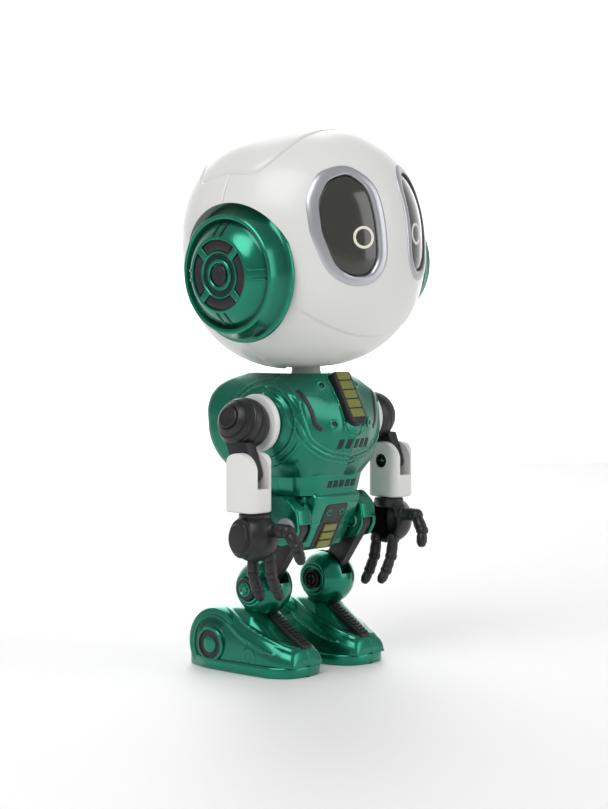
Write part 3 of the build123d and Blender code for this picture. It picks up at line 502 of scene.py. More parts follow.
def eye_lens(side):
    kit = Kit()
    middle = np.array([11.2, 4.9])
    outline = inset(EYE_OUTLINE, 2.42)
    rows = []
    for t, lift in (
        (1.0, -1.2), (1.0, -0.62), (0.985, -0.52), (0.95, -0.47), (0.85, -0.42), (0.7, -0.40), (0.5, -0.38),
        (0.25, -0.37), (0.02, -0.36),
    ):
        rows.append([on_face(side * x, z, lift) for x, z in middle + (outline - middle) * t])
    kit.skin(rows, LENS, cap_end=True, matrix=HEAD_MATRIX)
    return kit.finish("lens", 60)


def eye_pupil(side):
    kit = Kit()
    turns = np.linspace(0, 2 * pi, 48, endpoint=False)
    rows = []
    for r, lift in (
        (2.38, -0.7), (2.38, -0.42), (2.30, -0.36), (2.1, -0.352), (1.9, -0.352), (1.76, -0.38),
        (1.72, -0.5), (1.72, -0.8),
    ):
        rows.append([on_face(side * 8.7 + r * cos(a), 2.1 + r * sin(a), lift) for a in turns])
    kit.skin(rows, RING, matrix=HEAD_MATRIX)
    return kit.finish("ring")


for side, word in ((1, "left"), (-1, "right")):
    place(eye_bezel(side), f"eye_bezel_{word}", "head")
    place(eye_lens(side), f"eye_lens_{word}", "head")
    place(eye_pupil(side), f"eye_ring_{word}", "head")

# %% [markdown]
# ## Ears
#
# Each ear is a turned drum: a wide flange, a dished band, a raised rim and a cone that carries four pairs
# of ribs, with a black speaker-like grille let into its flat face.

# %% Ears
EAR_FORM = (
    (14.2, 0.0), (14.66, 0.1), (14.7, 0.55), (14.6, 0.8), (14.2, 0.95), (13.75, 1.35), (13.3, 2.3),
    (12.9, 3.2), (12.6, 4.2), (12.45, 4.9), (12.2, 5.12), (11.8, 5.16), (11.5, 5.05), (11.3, 4.6),
    (11.05, 4.35), (10.8, 4.45), (10.5, 4.9), (9.6, 5.9), (8.7, 6.75), (8.1, 7.2), (7.75, 7.42),
    (7.5, 7.46), (7.35, 7.4), (7.25, 7.15), (7.2, 6.9), (5.1, 6.9), (5.05, 7.2), (4.9, 7.38), (4.7, 7.38),
    (4.5, 7.2), (4.4, 7.0), (3.4, 7.0), (3.3, 7.25), (3.1, 7.4), (2.7, 7.4), (2.5, 7.25), (2.4, 6.9),
    (AXIS, 6.9),
)


def ear(side):
    """The turned drum, its four pairs of ribs and the spokes between the black arcs."""
    kit = Kit()
    seat = ear_matrix(side)
    kit.turn(EAR_FORM, seat, GREEN, 128)
    for quarter in range(4):
        for shift in (-1.0, 1.0):
            a = radians(90 * quarter)
            rows = []
            for t, width, lift in (
                (0, 0.1, -0.3), (0.03, 0.3, 0.1), *((t, 0.34, 0.27) for t in np.linspace(0.08, 0.92, 9)),
                (0.97, 0.3, 0.12), (1, 0.1, -0.3),
            ):
                r = 7.75 + 3.3 * t
                h = float(np.interp(-r, [-p[0] for p in EAR_FORM], [p[1] for p in EAR_FORM]))
                h = min(h, 7.18)
                ring = []
                for k in range(8):
                    b = 2 * pi * k / 8
                    u, v = r, shift + width * cos(b)
                    ring.append((u * cos(a) - v * sin(a), u * sin(a) + v * cos(a), h + lift * sin(b)))
                rows.append(ring)
            kit.skin(rows, GREEN, cap_start=True, cap_end=True, matrix=seat)
    for turn in (45, 135, 225, 315):
        a = radians(turn)
        spoke = rounded([(4.6, -0.8), (7.4, -0.8), (7.4, 0.8), (4.6, 0.8)], 0.2, 2)
        kit.block(
            [(x * cos(a) - y * sin(a), x * sin(a) + y * cos(a)) for x, y in spoke], 6.6, 7.42, GREEN, seat,
            0.15,
        )
    return kit.finish("ear")


def ear_inlay(side):
    """Four black arcs and the hub."""
    kit = Kit()
    seat = ear_matrix(side)
    for quarter in range(4):
        start = 90 * quarter - 35
        profile = [(5.15, 6.85), (5.15, 7.12), (5.3, 7.2), (7.0, 7.2), (7.15, 7.12), (7.15, 6.85)]
        kit.turn(profile, seat, BLACK, 20, (start, start + 70))
    kit.turn(
        [(2.05, 6.85), (2.05, 7.2), (1.9, 7.32), (0.9, 7.32), (0.8, 7.2), (AXIS, 7.2)], seat, BLACK, 40,
    )
    return kit.finish("inlay")


for side, word in ((1, "left"), (-1, "right")):
    place(ear(side), f"ear_{word}", "head")
    place(ear_inlay(side), f"ear_inlay_{word}", "head")

# %% [markdown]
# ## Chest
#
# The two torso castings share one form. At each height the plan is a smooth curve from a blunt prow, past
# a full breast and a rounded flank, to a boxy back. Raised beads are added as relief on that form.

# %% Chest form
PLAN = np.array([
    # height, prow, breast at 6, corner x, corner y, half width, back
    (42.6, -10.5, -9.6, 10.3, -7.6, 12.4, 11.4),
    (46.0, -12.2, -11.4, 12.3, -9.2, 14.8, 13.8),
    (49.6, -13.9, -12.6, 13.0, -9.9, 15.7, 15.7),
    (54.0, -14.6, -12.9, 13.1, -10.2, 16.0, 16.4),
    (58.0, -13.1, -11.5, 13.0, -9.8, 15.8, 16.4),
    (60.6, -11.6, -10.0, 12.4, -8.9, 14.9, 15.6),
    (62.4, -10.5, -8.9, 10.9, -7.4, 13.4, 14.4),
    (63.7, -9.8, -7.9, 9.2, -6.2, 11.5, 12.8),
    (64.5, -9.4, -7.2, 8.0, -5.2, 9.7, 11.0),
])
SEAM_Y = -1.1


def smooth_row(z):
    """The plan's control values at a height, eased between rows."""
    heights = PLAN[:, 0]
    slopes = np.gradient(PLAN[:, 1:], heights, axis=0)
    i = int(np.clip(np.searchsorted(heights, z) - 1, 0, len(heights) - 2))
    h = heights[i + 1] - heights[i]
    t = (z - heights[i]) / h
    a, b = 2 * t**3 - 3 * t**2 + 1, t**3 - 2 * t**2 + t
    c, d = -2 * t**3 + 3 * t**2, t**3 - t**2
    return a * PLAN[i, 1:] + b * h * slopes[i] + c * PLAN[i + 1, 1:] + d * h * slopes[i + 1]


def half_plan(z):
    """Right-hand half of the plan at a height, from the prow round to the middle of the back."""
    prow, breast, cx, cy, wide, back = smooth_row(z)
    corners = [
        (0, prow), (0.06, prow), (6.0, breast), (cx, cy), (wide, cy + 5.0), (wide, back - 2),
        (wide - 2.0, back), (0, back),
    ]
    soft = [0, 2.0, 9.0, 3.6, 6.0, 4.5, 4.5, 0]
    inner = rounded(corners[1:-1], soft[1:-1], 7)[8:-8]
    curve = np.vstack([[corners[0]], inner, [corners[-1]]])
    length = np.concatenate([[0], np.cumsum(np.linalg.norm(np.diff(curve, axis=0), axis=1))])
    return curve, length


def resample(curve, length, count):
    """The curve as count points, evenly spaced."""
    where = np.linspace(0, length[-1], count)
    return np.column_stack([np.interp(where, length, curve[:, k]) for k in (0, 1)])


def near(points, p):
    """Distance from p to a polyline."""
    start, end = points[:-1], points[1:]
    edge = end - start
    t = np.clip(np.sum((p - start) * edge, axis=1) / np.sum(edge * edge, axis=1), 0, 1)
    return np.linalg.norm(start + edge * t[:, None] - p, axis=1).min()


def bead(distance, width, height):
    """Height of a raised line at a distance from its middle."""
    return height * float(smooth_step(1 - abs(distance) / width))


def eased(points, count=8):
    """Catmull-Rom curve through points."""
    p = np.array(points, float)
    p = np.vstack([2 * p[0] - p[1], p, 2 * p[-1] - p[-2]])
    out = []
    for i in range(1, len(p) - 2):
        for t in np.linspace(0, 1, count, endpoint=False):
            out.append(
                0.5 * (
                    (2 * p[i]) + (p[i + 1] - p[i - 1]) * t + (
                        2 * p[i - 1] - 5 * p[i] + 4 * p[i + 1] - p[i + 2]
                    ) * t**2 + (3 * p[i] - p[i - 1] - 3 * p[i + 1] + p[i + 2]) * t**3
                )
            )
    return np.array(out + [p[-2]])


PLATE_EDGE = eased(
    [
        (14.4, 60.6), (13.9, 58.5), (13.6, 55.5), (12.4, 51.8), (11.0, 49.8), (9.4, 48.7), (7.0, 47.5),
        (4.6, 46.9), (0, 46.3),
    ]
)


def chest_relief(x, y, z):
    """Height of beads and grooves at a point of the chest's surface."""
    push = 0.0
    if y < -4:
        away = near(PLATE_EDGE, np.array([abs(x), z]))
        push += bead(away, 0.34, 0.22) + bead(away - 0.95, 0.30, 0.14)
        push += bead(abs(x) - 3.1, 0.35, 0.25) if z > 52 else 0
        hole = sqrt(x * x + (z - 54.2) ** 2) - 3.1 if z <= 54.2 else 9
        push += bead(hole, 0.35, 0.25) if z <= 54.2 else 0
    if abs(x) > 11 and y > -9.5:
        ring = sqrt((y - SEAM_Y) ** 2 + (z - 54.2) ** 2)
        push += bead(ring - 7.9, 0.4, 0.26) + bead(ring - 9.3, 0.35, 0.2)
    if y > 0 and z > 50:
        push += bead(abs(x) - (8.5 + 0.35 * (64 - z)), 0.3, 0.2) if z < 62 else 0
        push += bead(z - 60.8, 0.3, 0.2) if abs(x) < 9.5 else 0
    push -= 0.2 * float(smooth_step(1 - abs(y - SEAM_Y) / 0.3))
    return push


def chest_rows(front):
    """Rows of points up one casting, with its relief."""
    rows = []
    for z in np.linspace(42.6, 64.5, 110):
        curve, length = half_plan(z)
        points = resample(curve, length, 300)
        cut_at = int(np.argmax(points[:, 1] > SEAM_Y))
        share = (SEAM_Y - points[cut_at - 1, 1]) / (points[cut_at, 1] - points[cut_at - 1, 1])
        edge = points[cut_at - 1] * (1 - share) + points[cut_at] * share
        part = np.vstack([points[:cut_at], [edge]]) if front else np.vstack([[edge], points[cut_at:]])[::-1]
        lengths = np.concatenate([[0], np.cumsum(np.linalg.norm(np.diff(part, axis=0), axis=1))])
        part = resample(part, lengths, 110)
        tangent = np.gradient(part, axis=0)
        normal = np.column_stack([tangent[:, 1], -tangent[:, 0]]) * (1 if front else -1)
        normal /= np.linalg.norm(normal, axis=1, keepdims=True)
        half = []
        for (x, y), (nx, ny) in zip(part, normal):
            push = chest_relief(x, y, z)
            half.append((x + nx * push, y + ny * push, z))
        rows.append([(-x, y, z) for x, y, z in half[:0:-1]] + half)
    return rows


# %% [markdown]
# Under the chest a plain waist band leads to a wedge-shaped pelvis with a rounded hood over each hip.

# %% Torso castings
def chest_at(x, z):
    """The chest surface in front of (x, z)."""
    curve, length = half_plan(z)
    order = curve[: int(np.argmax(curve[:, 0] > abs(x))) + 1]
    return Vector((x, float(np.interp(abs(x), order[:, 0], order[:, 1])), z))


def torso(front):
    """One torso casting: chest, waist band, pelvis and its half of both hip hoods."""
    kit = Kit()
    rows = chest_rows(front)
    base, top = rows[0], rows[-1]
    lowered = [
        [(x * s, SEAM_Y + (y - SEAM_Y) * s, 42.6 + d) for x, y, z in base] for s,
        d in ((0.80, -0.1), (0.93, -0.32), (0.985, -0.22))
    ]
    raised = [
        [(x * s, SEAM_Y + (y - SEAM_Y) * s, 64.5 + d) for x, y, z in top] for s,
        d in ((0.975, 0.08), (0.93, 0.08), (0.88, -0.2), (0.7, -0.6), (0.3, -0.6))
    ]
    kit.skin(lowered + rows + raised, GREEN, closed=False)
    sign = -1 if front else 1
    edge = SEAM_Y + sign * 0.03
    waist_y = (-9.2, -9.8) if front else (8.7, 9.7)
    corner = 3.0
    band = []
    for z, w, y in (
        (38.4, 10.2, waist_y[0]), (38.9, 10.32, waist_y[0]), (42.4, 10.9, waist_y[1]),
        (42.9, 10.9, waist_y[1]),
    ):
        shape = [
            (-w, edge), (-w, y - sign * corner), (-w + 1.4 * corner, y), (w - 1.4 * corner, y),
            (w, y - sign * corner), (w, edge),
        ]
        band.append([(px, py, z) for px, py in rounded(shape, [0.01, 3.0, 4.5, 4.5, 3.0, 0.01], 5)])
    kit.skin(band, GREEN, closed=False)
    if front:
        side_view = [
            (edge, 38.9), (-8.6, 38.9), (-9.45, 38.1), (-9.3, 36.4), (-4.3, 26.9), (-3.5, 26.0),
            (edge, 25.9),
        ]
    else:
        side_view = [(edge, 25.9), (0.3, 25.85), (8.6, 31.4), (8.9, 32.2), (8.9, 38.8), (edge, 38.9)]
    block(kit, rounded(side_view, 0.5, 3), -7.4, 7.4, GREEN, 0.7)
    shoulder_block = [(edge, 38.6), (sign * 7.0, 38.6), (sign * 7.2, 32.0), (edge, 27.0)]
    block(kit, rounded(shoulder_block, 0.6, 3), -8.7, 8.7, GREEN, 0.4)
    for side in (-1, 1):
        hood(kit, side, front, edge)
    if front:
        printed_marks(kit)
    return kit.finish("torso")


def printed_marks(kit):
    """Two rows of slanted dashes, printed on the chest and on the waist band."""
    for low, high, starts in (
        (48.5, 50.5, (-4.4, -2.2, 0.2, 2.4, 4.4)), (39.9, 41.4, (-3.8, -1.9, 0.0, 2.0, 3.8)),
    ):
        for start in starts:
            rows = []
            for z in np.linspace(low, high, 5):
                lean = 0.35 * (z - low) / (high - low)
                row = []
                for x in np.linspace(start + lean, start + lean + 1.3, 4):
                    at = chest_at(x, z) if z > 43 else Vector((x, -9.2 - 0.6 * (z - 38.9) / 3.5, z))
                    row.append(at + Vector((0, -0.07, 0)))
                rows.append(row)
            kit.skin(rows, MARK, closed=False)


def block(kit, side_view, x_low, x_high, look, soft=0.4):
    """A bevelled block along X from a side view in (y, z)."""
    kit.block(side_view, x_low, x_high, look, TO_SIDE, soft)


def hood(kit, side, front, edge):
    """The hip hood: an outer cheek and an inner cheek with the leg's slot between, bridged on top."""
    if front:
        cheek = [
            (edge, 38.35), (-5.6, 38.3), (-8.7, 35.6), (-9.2, 31.2), (-7.8, 28.6), (-4.4, 27.6),
            (edge, 28.5),
        ]
        bridge = [
            (edge, 38.35), (-5.6, 38.3), (-8.7, 35.6), (-9.15, 32.6), (-8.9, 32.4), (-8.2, 35.3),
            (edge, 35.3),
        ]
        soft = [0.05, 3.0, 3.0, 2.0, 2.0, 1.5, 0.05]
    else:
        cheek = [(edge, 28.5), (3.6, 29.6), (6.4, 34.2), (4.4, 38.35), (edge, 38.35)]
        bridge = [(edge, 35.3), (5.6, 35.3), (4.4, 38.35), (edge, 38.35)]
        soft = [0.05, 2.0, 2.0, 2.0, 0.05]
    for low, high, shape, radius in (
        (8.2, 8.8, cheek, soft), (12.15, 13.15, cheek, soft), (8.5, 12.6, bridge, 0.5),
    ):
        a, b = sorted((side * low, side * high))
        block(kit, rounded(shape, radius, 5), a, b, GREEN, 0.3)


for front, name in ((True, "torso_front_shell"), (False, "torso_rear_shell")):
    place(torso(front), name, "torso")

# %% [markdown]
# Trim on the chest and pelvis: a black strip with olive bars, small rivets and dark curved inlays. The
# two panels lean with the castings, so each has its own matrix and its trim is drawn flat on it.

# %% Chest trim
def slope(top, bottom):
    """Matrix of a leaning panel: X to the left side, Y up along it, Z out of it."""
    middle = (np.array(top) + np.array(bottom)) / 2
    up = Vector(np.array(top) - np.array(bottom)).normalized()
    out = Vector((1, 0, 0)).cross(up)
    return Matrix(
        (
            (1, up.x, out.x, middle[0]), (0, up.y, out.y, middle[1]), (0, up.z, out.z, middle[2]),
            (0, 0, 0, 1),
        )
    )


CHEST_SLOPE = slope((0, -10.0, 64.7), (0, -15.6, 53.9))
PELVIS_SLOPE = slope((0, -9.3, 36.4), (0, -3.9, 26.2))


def bars(kit, matrix, width, height, pitch, count, middle, base, top):
    """A row of rounded olive bars up a panel."""
    for i in range(count):
        y = middle + (i - (count - 1) / 2) * pitch
        shape = rounded(
            [
                (-width / 2, y - height / 2), (width / 2, y - height / 2), (width / 2, y + height / 2),
                (-width / 2, y + height / 2),
            ],
            0.18, 3,
        )
        kit.block(shape, base, top, OLIVE, matrix, 0.12)


def rivet(kit, matrix, radius):
    """A raised ring with a dark pin sunk in it."""
    rim = (
        (radius * 1.0, -1.0), (radius, 0.1), (radius * 0.9, 0.22), (radius * 0.72, 0.26),
        (radius * 0.55, 0.18), (radius * 0.48, -0.05),
    )
    kit.turn(rim, matrix, GREEN, 28)
    kit.turn(
        [(radius * 0.5, -0.3), (radius * 0.48, -0.02), (radius * 0.3, 0.06), (AXIS, 0.08)], matrix, BLACK,
        24,
    )


kit = Kit()
kit.block(
    rounded([(-2.75, -6.2), (2.75, -6.2), (2.75, 6.2), (-2.75, 6.2)], [2.6, 2.6, 0.4, 0.4], 8), -1.4, 0.22,
    BLACK, CHEST_SLOPE, 0.2,
)
place(kit.finish("strip"), "chest_strip", "torso")
kit = Kit()
bars(kit, CHEST_SLOPE, 4.0, 1.9, 2.2, 5, 0.8, 0.0, 0.42)
place(kit.finish("bars"), "chest_bars", "torso")
kit = Kit()
kit.block(
    rounded([(-3.6, -5.6), (3.6, -5.6), (3.6, 5.6), (-3.6, 5.6)], 0.8, 4), -1.1, 0.18, BLACK, PELVIS_SLOPE,
    0.15,
)
place(kit.finish("panel"), "pelvis_panel", "torso")
kit = Kit()
bars(kit, PELVIS_SLOPE, 4.1, 1.7, 2.1, 3, -2.3, 0.02, 0.6)
place(kit.finish("bars"), "pelvis_bars", "torso")
kit = Kit()
for x, z, lean in ((5.7, 62.0, 0.45), (5.75, 53.9, 0.0)):
    for side in (-1, 1):
        rivet(kit, aim(chest_at(side * x, z), (side * 0.36, -0.88, lean)), 1.15)
place(kit.finish("rivets"), "chest_rivets", "torso")
kit = Kit()
for side in (-1, 1):
    spot = PELVIS_SLOPE @ Vector((side * 2.1, 3.6, 0.1))
    rivet(kit, aim(spot, PELVIS_SLOPE.to_3x3() @ Vector((0, 0, 1))), 0.85)
place(kit.finish("rivets"), "pelvis_rivets", "torso")

# %% [markdown]
# The dark inlays curve down the chest beside the shoulders. They are swept over the chest's own surface, a
# tenth of a millimetre proud of it.

# %% Chest inlays
kit = Kit()
for side in (-1, 1):
    path = eased([(12.1, 61.2), (11.2, 58.9), (10.4, 56.3), (10.1, 54.4), (9.3, 53.3), (8.5, 52.8)], 6)
    rows = []
    for i, (x, z) in enumerate(path):
        along = path[min(i + 1, len(path) - 1)] - path[max(i - 1, 0)]
        along /= np.linalg.norm(along)
        across = np.array([-along[1], along[0]])
        ring = []
        for w, lift in (
            (-0.55, -0.4), (-0.55, 0.06), (-0.36, 0.12), (0.36, 0.12), (0.55, 0.06), (0.55, -0.4),
        ):
            px, pz = np.array([x, z]) + across * w
            point = chest_at(side * px, pz)
            ring.append(point + Vector((side * 0.2, -0.97, 0.1)) * lift)
        rows.append(ring)
    kit.skin(rows, BLACK, cap_start=True, cap_end=True)
place(kit.finish("inlays"), "chest_inlays", "torso")

# %% [markdown]
# The battery door continues the curve of the back. It is sampled from the same plan as the casting, and its
# rims fall away all round.

# %% Battery door
kit = Kit()
rows = []
for z in np.linspace(44.3, 60.5, 40):
    curve, length = half_plan(z)
    order = curve[curve[:, 1] > 0]
    half = []
    for x in np.linspace(0, 9.3, 16):
        y = float(np.interp(x, order[::-1, 0], order[::-1, 1]))
        rims = float(smooth_step((x - 9.0) / 0.3)), float(smooth_step((abs(z - 52.4) - 7.8) / 0.3))
        lift = -0.05 - 0.5 * rims[0] - 0.5 * rims[1]
        half.append((x, y + lift, z))
    rows.append([(-x, y, z) for x, y, z in half[:0:-1]] + half)
kit.skin(rows, GREEN, closed=False)
place(kit.finish("door"), "battery_door", "torso")

# %% [markdown]
# The screws are black-oxide steel with a cross recess. The recess is a skin whose radius swells along two
# crossed lines, so that every screw takes its head, recess and shank from one function.

# %% Screws
def cross_screw(kit, matrix, radius, look, deep=0.5, shaft=None):
    """A pan screw head with a cross recess, its face at the matrix's origin."""
    kit.turn(
        [(radius, -0.6), (radius, -0.12), (radius * 0.93, 0.0), (radius * 0.55, 0.0)], matrix, look, 32,
    )
    turns = np.linspace(0, 2 * pi, 64, endpoint=False)
    rows = []
    for t, h in ((1.0, 0.0), (0.94, -0.06), (0.9, -deep), (0.02, -deep)):
        ring = []
        for a in turns:
            arm = max(abs(cos(a)) ** 12, abs(sin(a)) ** 12)
            r = radius * (0.55 if t == 1.0 else t * (0.16 + 0.38 * arm))
            ring.append((r * cos(a), r * sin(a), h))
        rows.append(ring)
    kit.skin(rows, look, matrix=matrix)
    if shaft:
        kit.turn([(shaft[0], -0.5), (shaft[0], -shaft[1]), (AXIS, -shaft[1])], matrix, look, 24)


kit = Kit()
cross_screw(kit, aim((0, 15.85, 58.6), (0, 1, 0)), 1.48, STEEL, 0.5, (0.75, 5.5))
place(kit.finish("screw"), "battery_door_screw", "torso")
kit = Kit()
for x, z in ((6.8, 60.0), (11.8, 46.0)):
    for side in (-1, 1):
        cross_screw(kit, aim((side * x, 10.28, z), (0, 1, 0)), 1.38, STEEL, 0.5, (0.75, 12.0))
place(kit.finish("screws"), "torso_screws", "torso")
kit = Kit()
for x in (-9.0, 9.0):
    cross_screw(kit, HEAD_MATRIX @ aim((x, 22.15, -9.0), (0, 1, 0)), 1.45, STEEL, 0.5, (0.75, 8.2))
place(kit.finish("screws"), "head_screws", "head")

# %% [markdown]
# Three nickel-plated cells lie in a row across the back, face to face, in a black case behind the door. A can
# is rounded at its closed end and has a raised pole at the other.

# %% Cells and their case
kit = Kit()
for step in (-1, 0, 1):
    can = [
        (AXIS, -2.6), (5.2, -2.6), (5.6, -2.4), (5.7, -2.0), (5.7, 1.9), (5.5, 2.2), (4.6, 2.25),
        (4.5, 2.6), (AXIS, 2.6),
    ]
    kit.turn(can, aim((step * 5.4, 7.8, 51.0), (1, 0, 0)), NICKEL, 48)
place(kit.finish("cells"), "button_cells", "torso")
kit = Kit()
kit.block([(-9.2, 2.0), (9.2, 2.0), (9.2, 11.6), (-9.2, 11.6)], 44.5, 45.2, BLACK, None, 0.1)
for x_low, x_high in ((-9.2, -8.3), (8.3, 9.2)):
    kit.block([(x_low, 2.0), (x_high, 2.0), (x_high, 12.0), (x_low, 12.0)], 44.8, 54.9, BLACK, None, 0.1)
place(kit.finish("tray"), "battery_case", "torso")

# %% [markdown]
# The sound board stands in front of the cells, and the loudspeaker faces the chest.

# %% Board and loudspeaker
kit = Kit()
kit.block([(-8.4, 0.45), (8.4, 0.45), (8.4, 1.35), (-8.4, 1.35)], 44.5, 54.7, BOARD, None, 0.05)
for x, z in ((-4.5, 51.5), (3.0, 48.0), (6.2, 52.6)):
    kit.block(
        [(x - 1.5, -0.7), (x + 1.5, -0.7), (x + 1.5, 0.5), (x - 1.5, 0.5)], z - 1.1, z + 1.1, BLACK, None,
        0.08,
    )
place(kit.finish("board"), "circuit_board", "torso")
kit = Kit()
kit.turn(
    [
        (AXIS, -2.1), (3.5, -2.1), (3.5, -1.1), (5.9, -1.1), (5.9, 1.1), (5.2, 1.1), (4.6, 0.5), (1.8, 0.1),
        (1.5, 0.6), (AXIS, 0.9),
    ],
    aim((0, -6.0, 49.8), (0, -1, 0)), BLACK, 48,
)
place(kit.finish("speaker"), "speaker", "torso")

# %% [markdown]
# The power slide is a small black button with three grip bars, low in the back.

# %% Power slide
kit = Kit()
kit.block(
    rounded([(-1.45, -0.7), (0.05, -0.7), (0.05, 0.7), (-1.45, 0.7)], 0.25, 3), 0.0, 2.7, BLACK,
    aim(SWITCH, (0, 1, 0), (1, 0, 0)), 0.2,
)
for i in range(3):
    kit.block(
        [
            (-1.3, -0.45 + 0.45 * i - 0.08), (-0.1, -0.45 + 0.45 * i - 0.08),
            (-0.1, -0.45 + 0.45 * i + 0.08), (-1.3, -0.45 + 0.45 * i + 0.08),
        ],
        2.6, 2.76, BLACK, aim(SWITCH, (0, 1, 0), (1, 0, 0)), 0.04,
    )
place(kit.finish("slide"), "power_switch", "switch")

# %% [markdown]
# ## Neck
#
# A white collar turns in the chest and carries a forked post; a ball on a cross pin nods on it, and the
# head's chassis tilts round the ball.

# %% Neck
kit = Kit()
kit.turn(
    [
        (AXIS, 56.05), (4.5, 56.05), (4.5, 57.4), (2.95, 57.6), (2.95, 62.8), (5.9, 62.8), (6.0, 63.0),
        (6.0, 63.9), (5.8, 64.15), (3.6, 64.18), (3.2, 64.5), (3.18, 74.6), (2.9, 74.88), (AXIS, 74.9),
    ],
    Matrix(), WHITE, 64,
)
block(
    kit, rounded([(-2.15, 74.5), (2.15, 74.5), (2.15, 81.75), (-2.15, 81.75)], 0.8, 4), -1.35, 1.35, WHITE,
    0.15,
)
place(kit.finish("collar"), "neck_collar", "collar")

# %% Neck ball and pin
kit = Kit()
turns = np.linspace(radians(-50), radians(89), 40)
kit.turn([(5.58 * cos(a), 5.58 * sin(a)) for a in turns], Matrix.Translation(NECK), WHITE, 64)
place(kit.finish("ball"), "neck_ball", "neck")
kit = Kit()
kit.turn(
    [(AXIS, -4.58), (0.7, -4.58), (0.79, -4.45), (0.79, 4.45), (0.7, 4.58), (AXIS, 4.58)],
    aim(NECK, (1, 0, 0)), STEEL, 24,
)
place(kit.finish("pin"), "neck_pin", "neck")

# %% Head chassis and lamps
kit = Kit()
kit.turn(
    [
        (5.05, -3.5), (8.0, -3.55), (8.2, -3.4), (8.2, -1.0), (20.4, -1.0), (20.6, -0.8), (20.6, 0.8),
        (20.4, 1.0), (8.2, 1.0), (8.2, 4.8), (8.0, 5.0), (2.2, 5.0), (4.2, 3.8), (5.66, 0), (5.05, -2.0),
        (5.05, -3.5),
    ],
    HEAD_MATRIX @ Matrix.Translation((0, 0, -HEAD_LIFT)), WHITE, 96,
)
place(kit.finish("chassis"), "head_chassis", "head")
kit = Kit()
for side in (-1, 1):
    kit.turn(
        [
            (AXIS, 3.98), (0.8, 3.8), (1.4, 3.2), (1.48, 2.6), (1.48, 0.85), (1.88, 0.75), (1.88, 0.05),
            (AXIS, 0.02),
        ],
        HEAD_MATRIX @ aim((side * 8.7, -17.0, 2.1), (0, -1, 0)), RING, 24,
    )
place(kit.finish("lamps"), "eye_leds", "head")

# %% [markdown]
# ## Arms
#
# The shoulder is a ball with turned grooves round a boss that points out and up; its tongue drops into
# the fork of a white sleeve, where a cross-head screw holds the elbow.

# %% Shoulders and sleeves
def mirror_x(side):
    """Identity on the left side, a mirror in X on the right."""
    return Matrix.Diagonal((side, 1, 1, 1))


def upper_arm(side):
    """Shoulder ball with turned grooves, its boss, the shaft into the chest and the elbow tongue."""
    kit = Kit()
    flip = mirror_x(side)
    boss = flip @ aim(SHOULDER, (cos(radians(18)), 0, sin(radians(18))))
    profile = []
    grooves = (26, 46, 66, 88)
    for a in np.linspace(0, 178, 150):
        dip = sum(0.22 * float(smooth_step(1 - abs(a - g) / 3.2)) for g in grooves)
        profile.append(((5.55 - dip) * sin(radians(a)) + 1e-3, (5.55 - dip) * cos(radians(a))))
    kit.turn(profile, boss, BLACK, 96)
    ball = kit.finish("arm")
    tool = Kit()
    tool.block(
        [(-10, -10), (10, -10), (10, 10), (-10, 10)], 0, 12, BLACK,
        flip @ aim((18.02, *SHOULDER[1:]), (-1, 0, 0)), 0.01,
    )
    cut(ball, tool.finish("tool"))
    kit = Kit()
    kit.turn(
        [
            (AXIS, 5.05), (1.2, 5.05), (1.32, 4.95), (1.36, 4.72), (1.5, 4.72), (1.56, 5.3), (1.7, 5.45),
            (2.15, 5.45), (2.35, 5.3), (2.4, 4.9), (2.4, 3.6),
        ],
        boss, BLACK, 40,
    )
    side_view = [(-7.3, 45.4), (-5.3, 50.6), (0.9, 51.2), (-1.9, 43.4), (-4.8, 41.2), (-7.8, 43.4)]
    side_view = rounded(side_view, [2.2, 0.5, 0.5, 2.6, 2.6, 2.6], 6)
    kit.block(
        [(-(p[1]), p[0]) for p in side_view], 22.1, 25.0, BLACK,
        flip @ Matrix(((0, 0, 1, 0), (0, 1, 0, 0), (-1, 0, 0, 0), (0, 0, 0, 1))), 0.3,
    )
    kit.turn(
        [(2.48, 6.0), (2.48, -1.4), (3.5, -1.5), (3.58, -2.7), (2.4, -2.8), (AXIS, -2.8)],
        flip @ aim((15.0, *SHOULDER[1:]), (1, 0, 0)), BLACK, 40,
    )
    rest = kit.finish("rest")
    join(ball, rest)
    return ball


def join(keep, *others):
    """Makes several objects one."""
    bpy.ops.object.select_all(action="DESELECT")
    for o in (keep, *others):
        o.select_set(True)
    bpy.context.view_layer.objects.active = keep
    bpy.ops.object.join()

# %% [markdown]
# The sleeve starts as a rounded block. A side view cut through it leaves the arch round the elbow pin, a
# narrower one makes the slot for the tongue, and a round one seats the screw's head. A fine bevel then
# softens every edge that the cuts left.

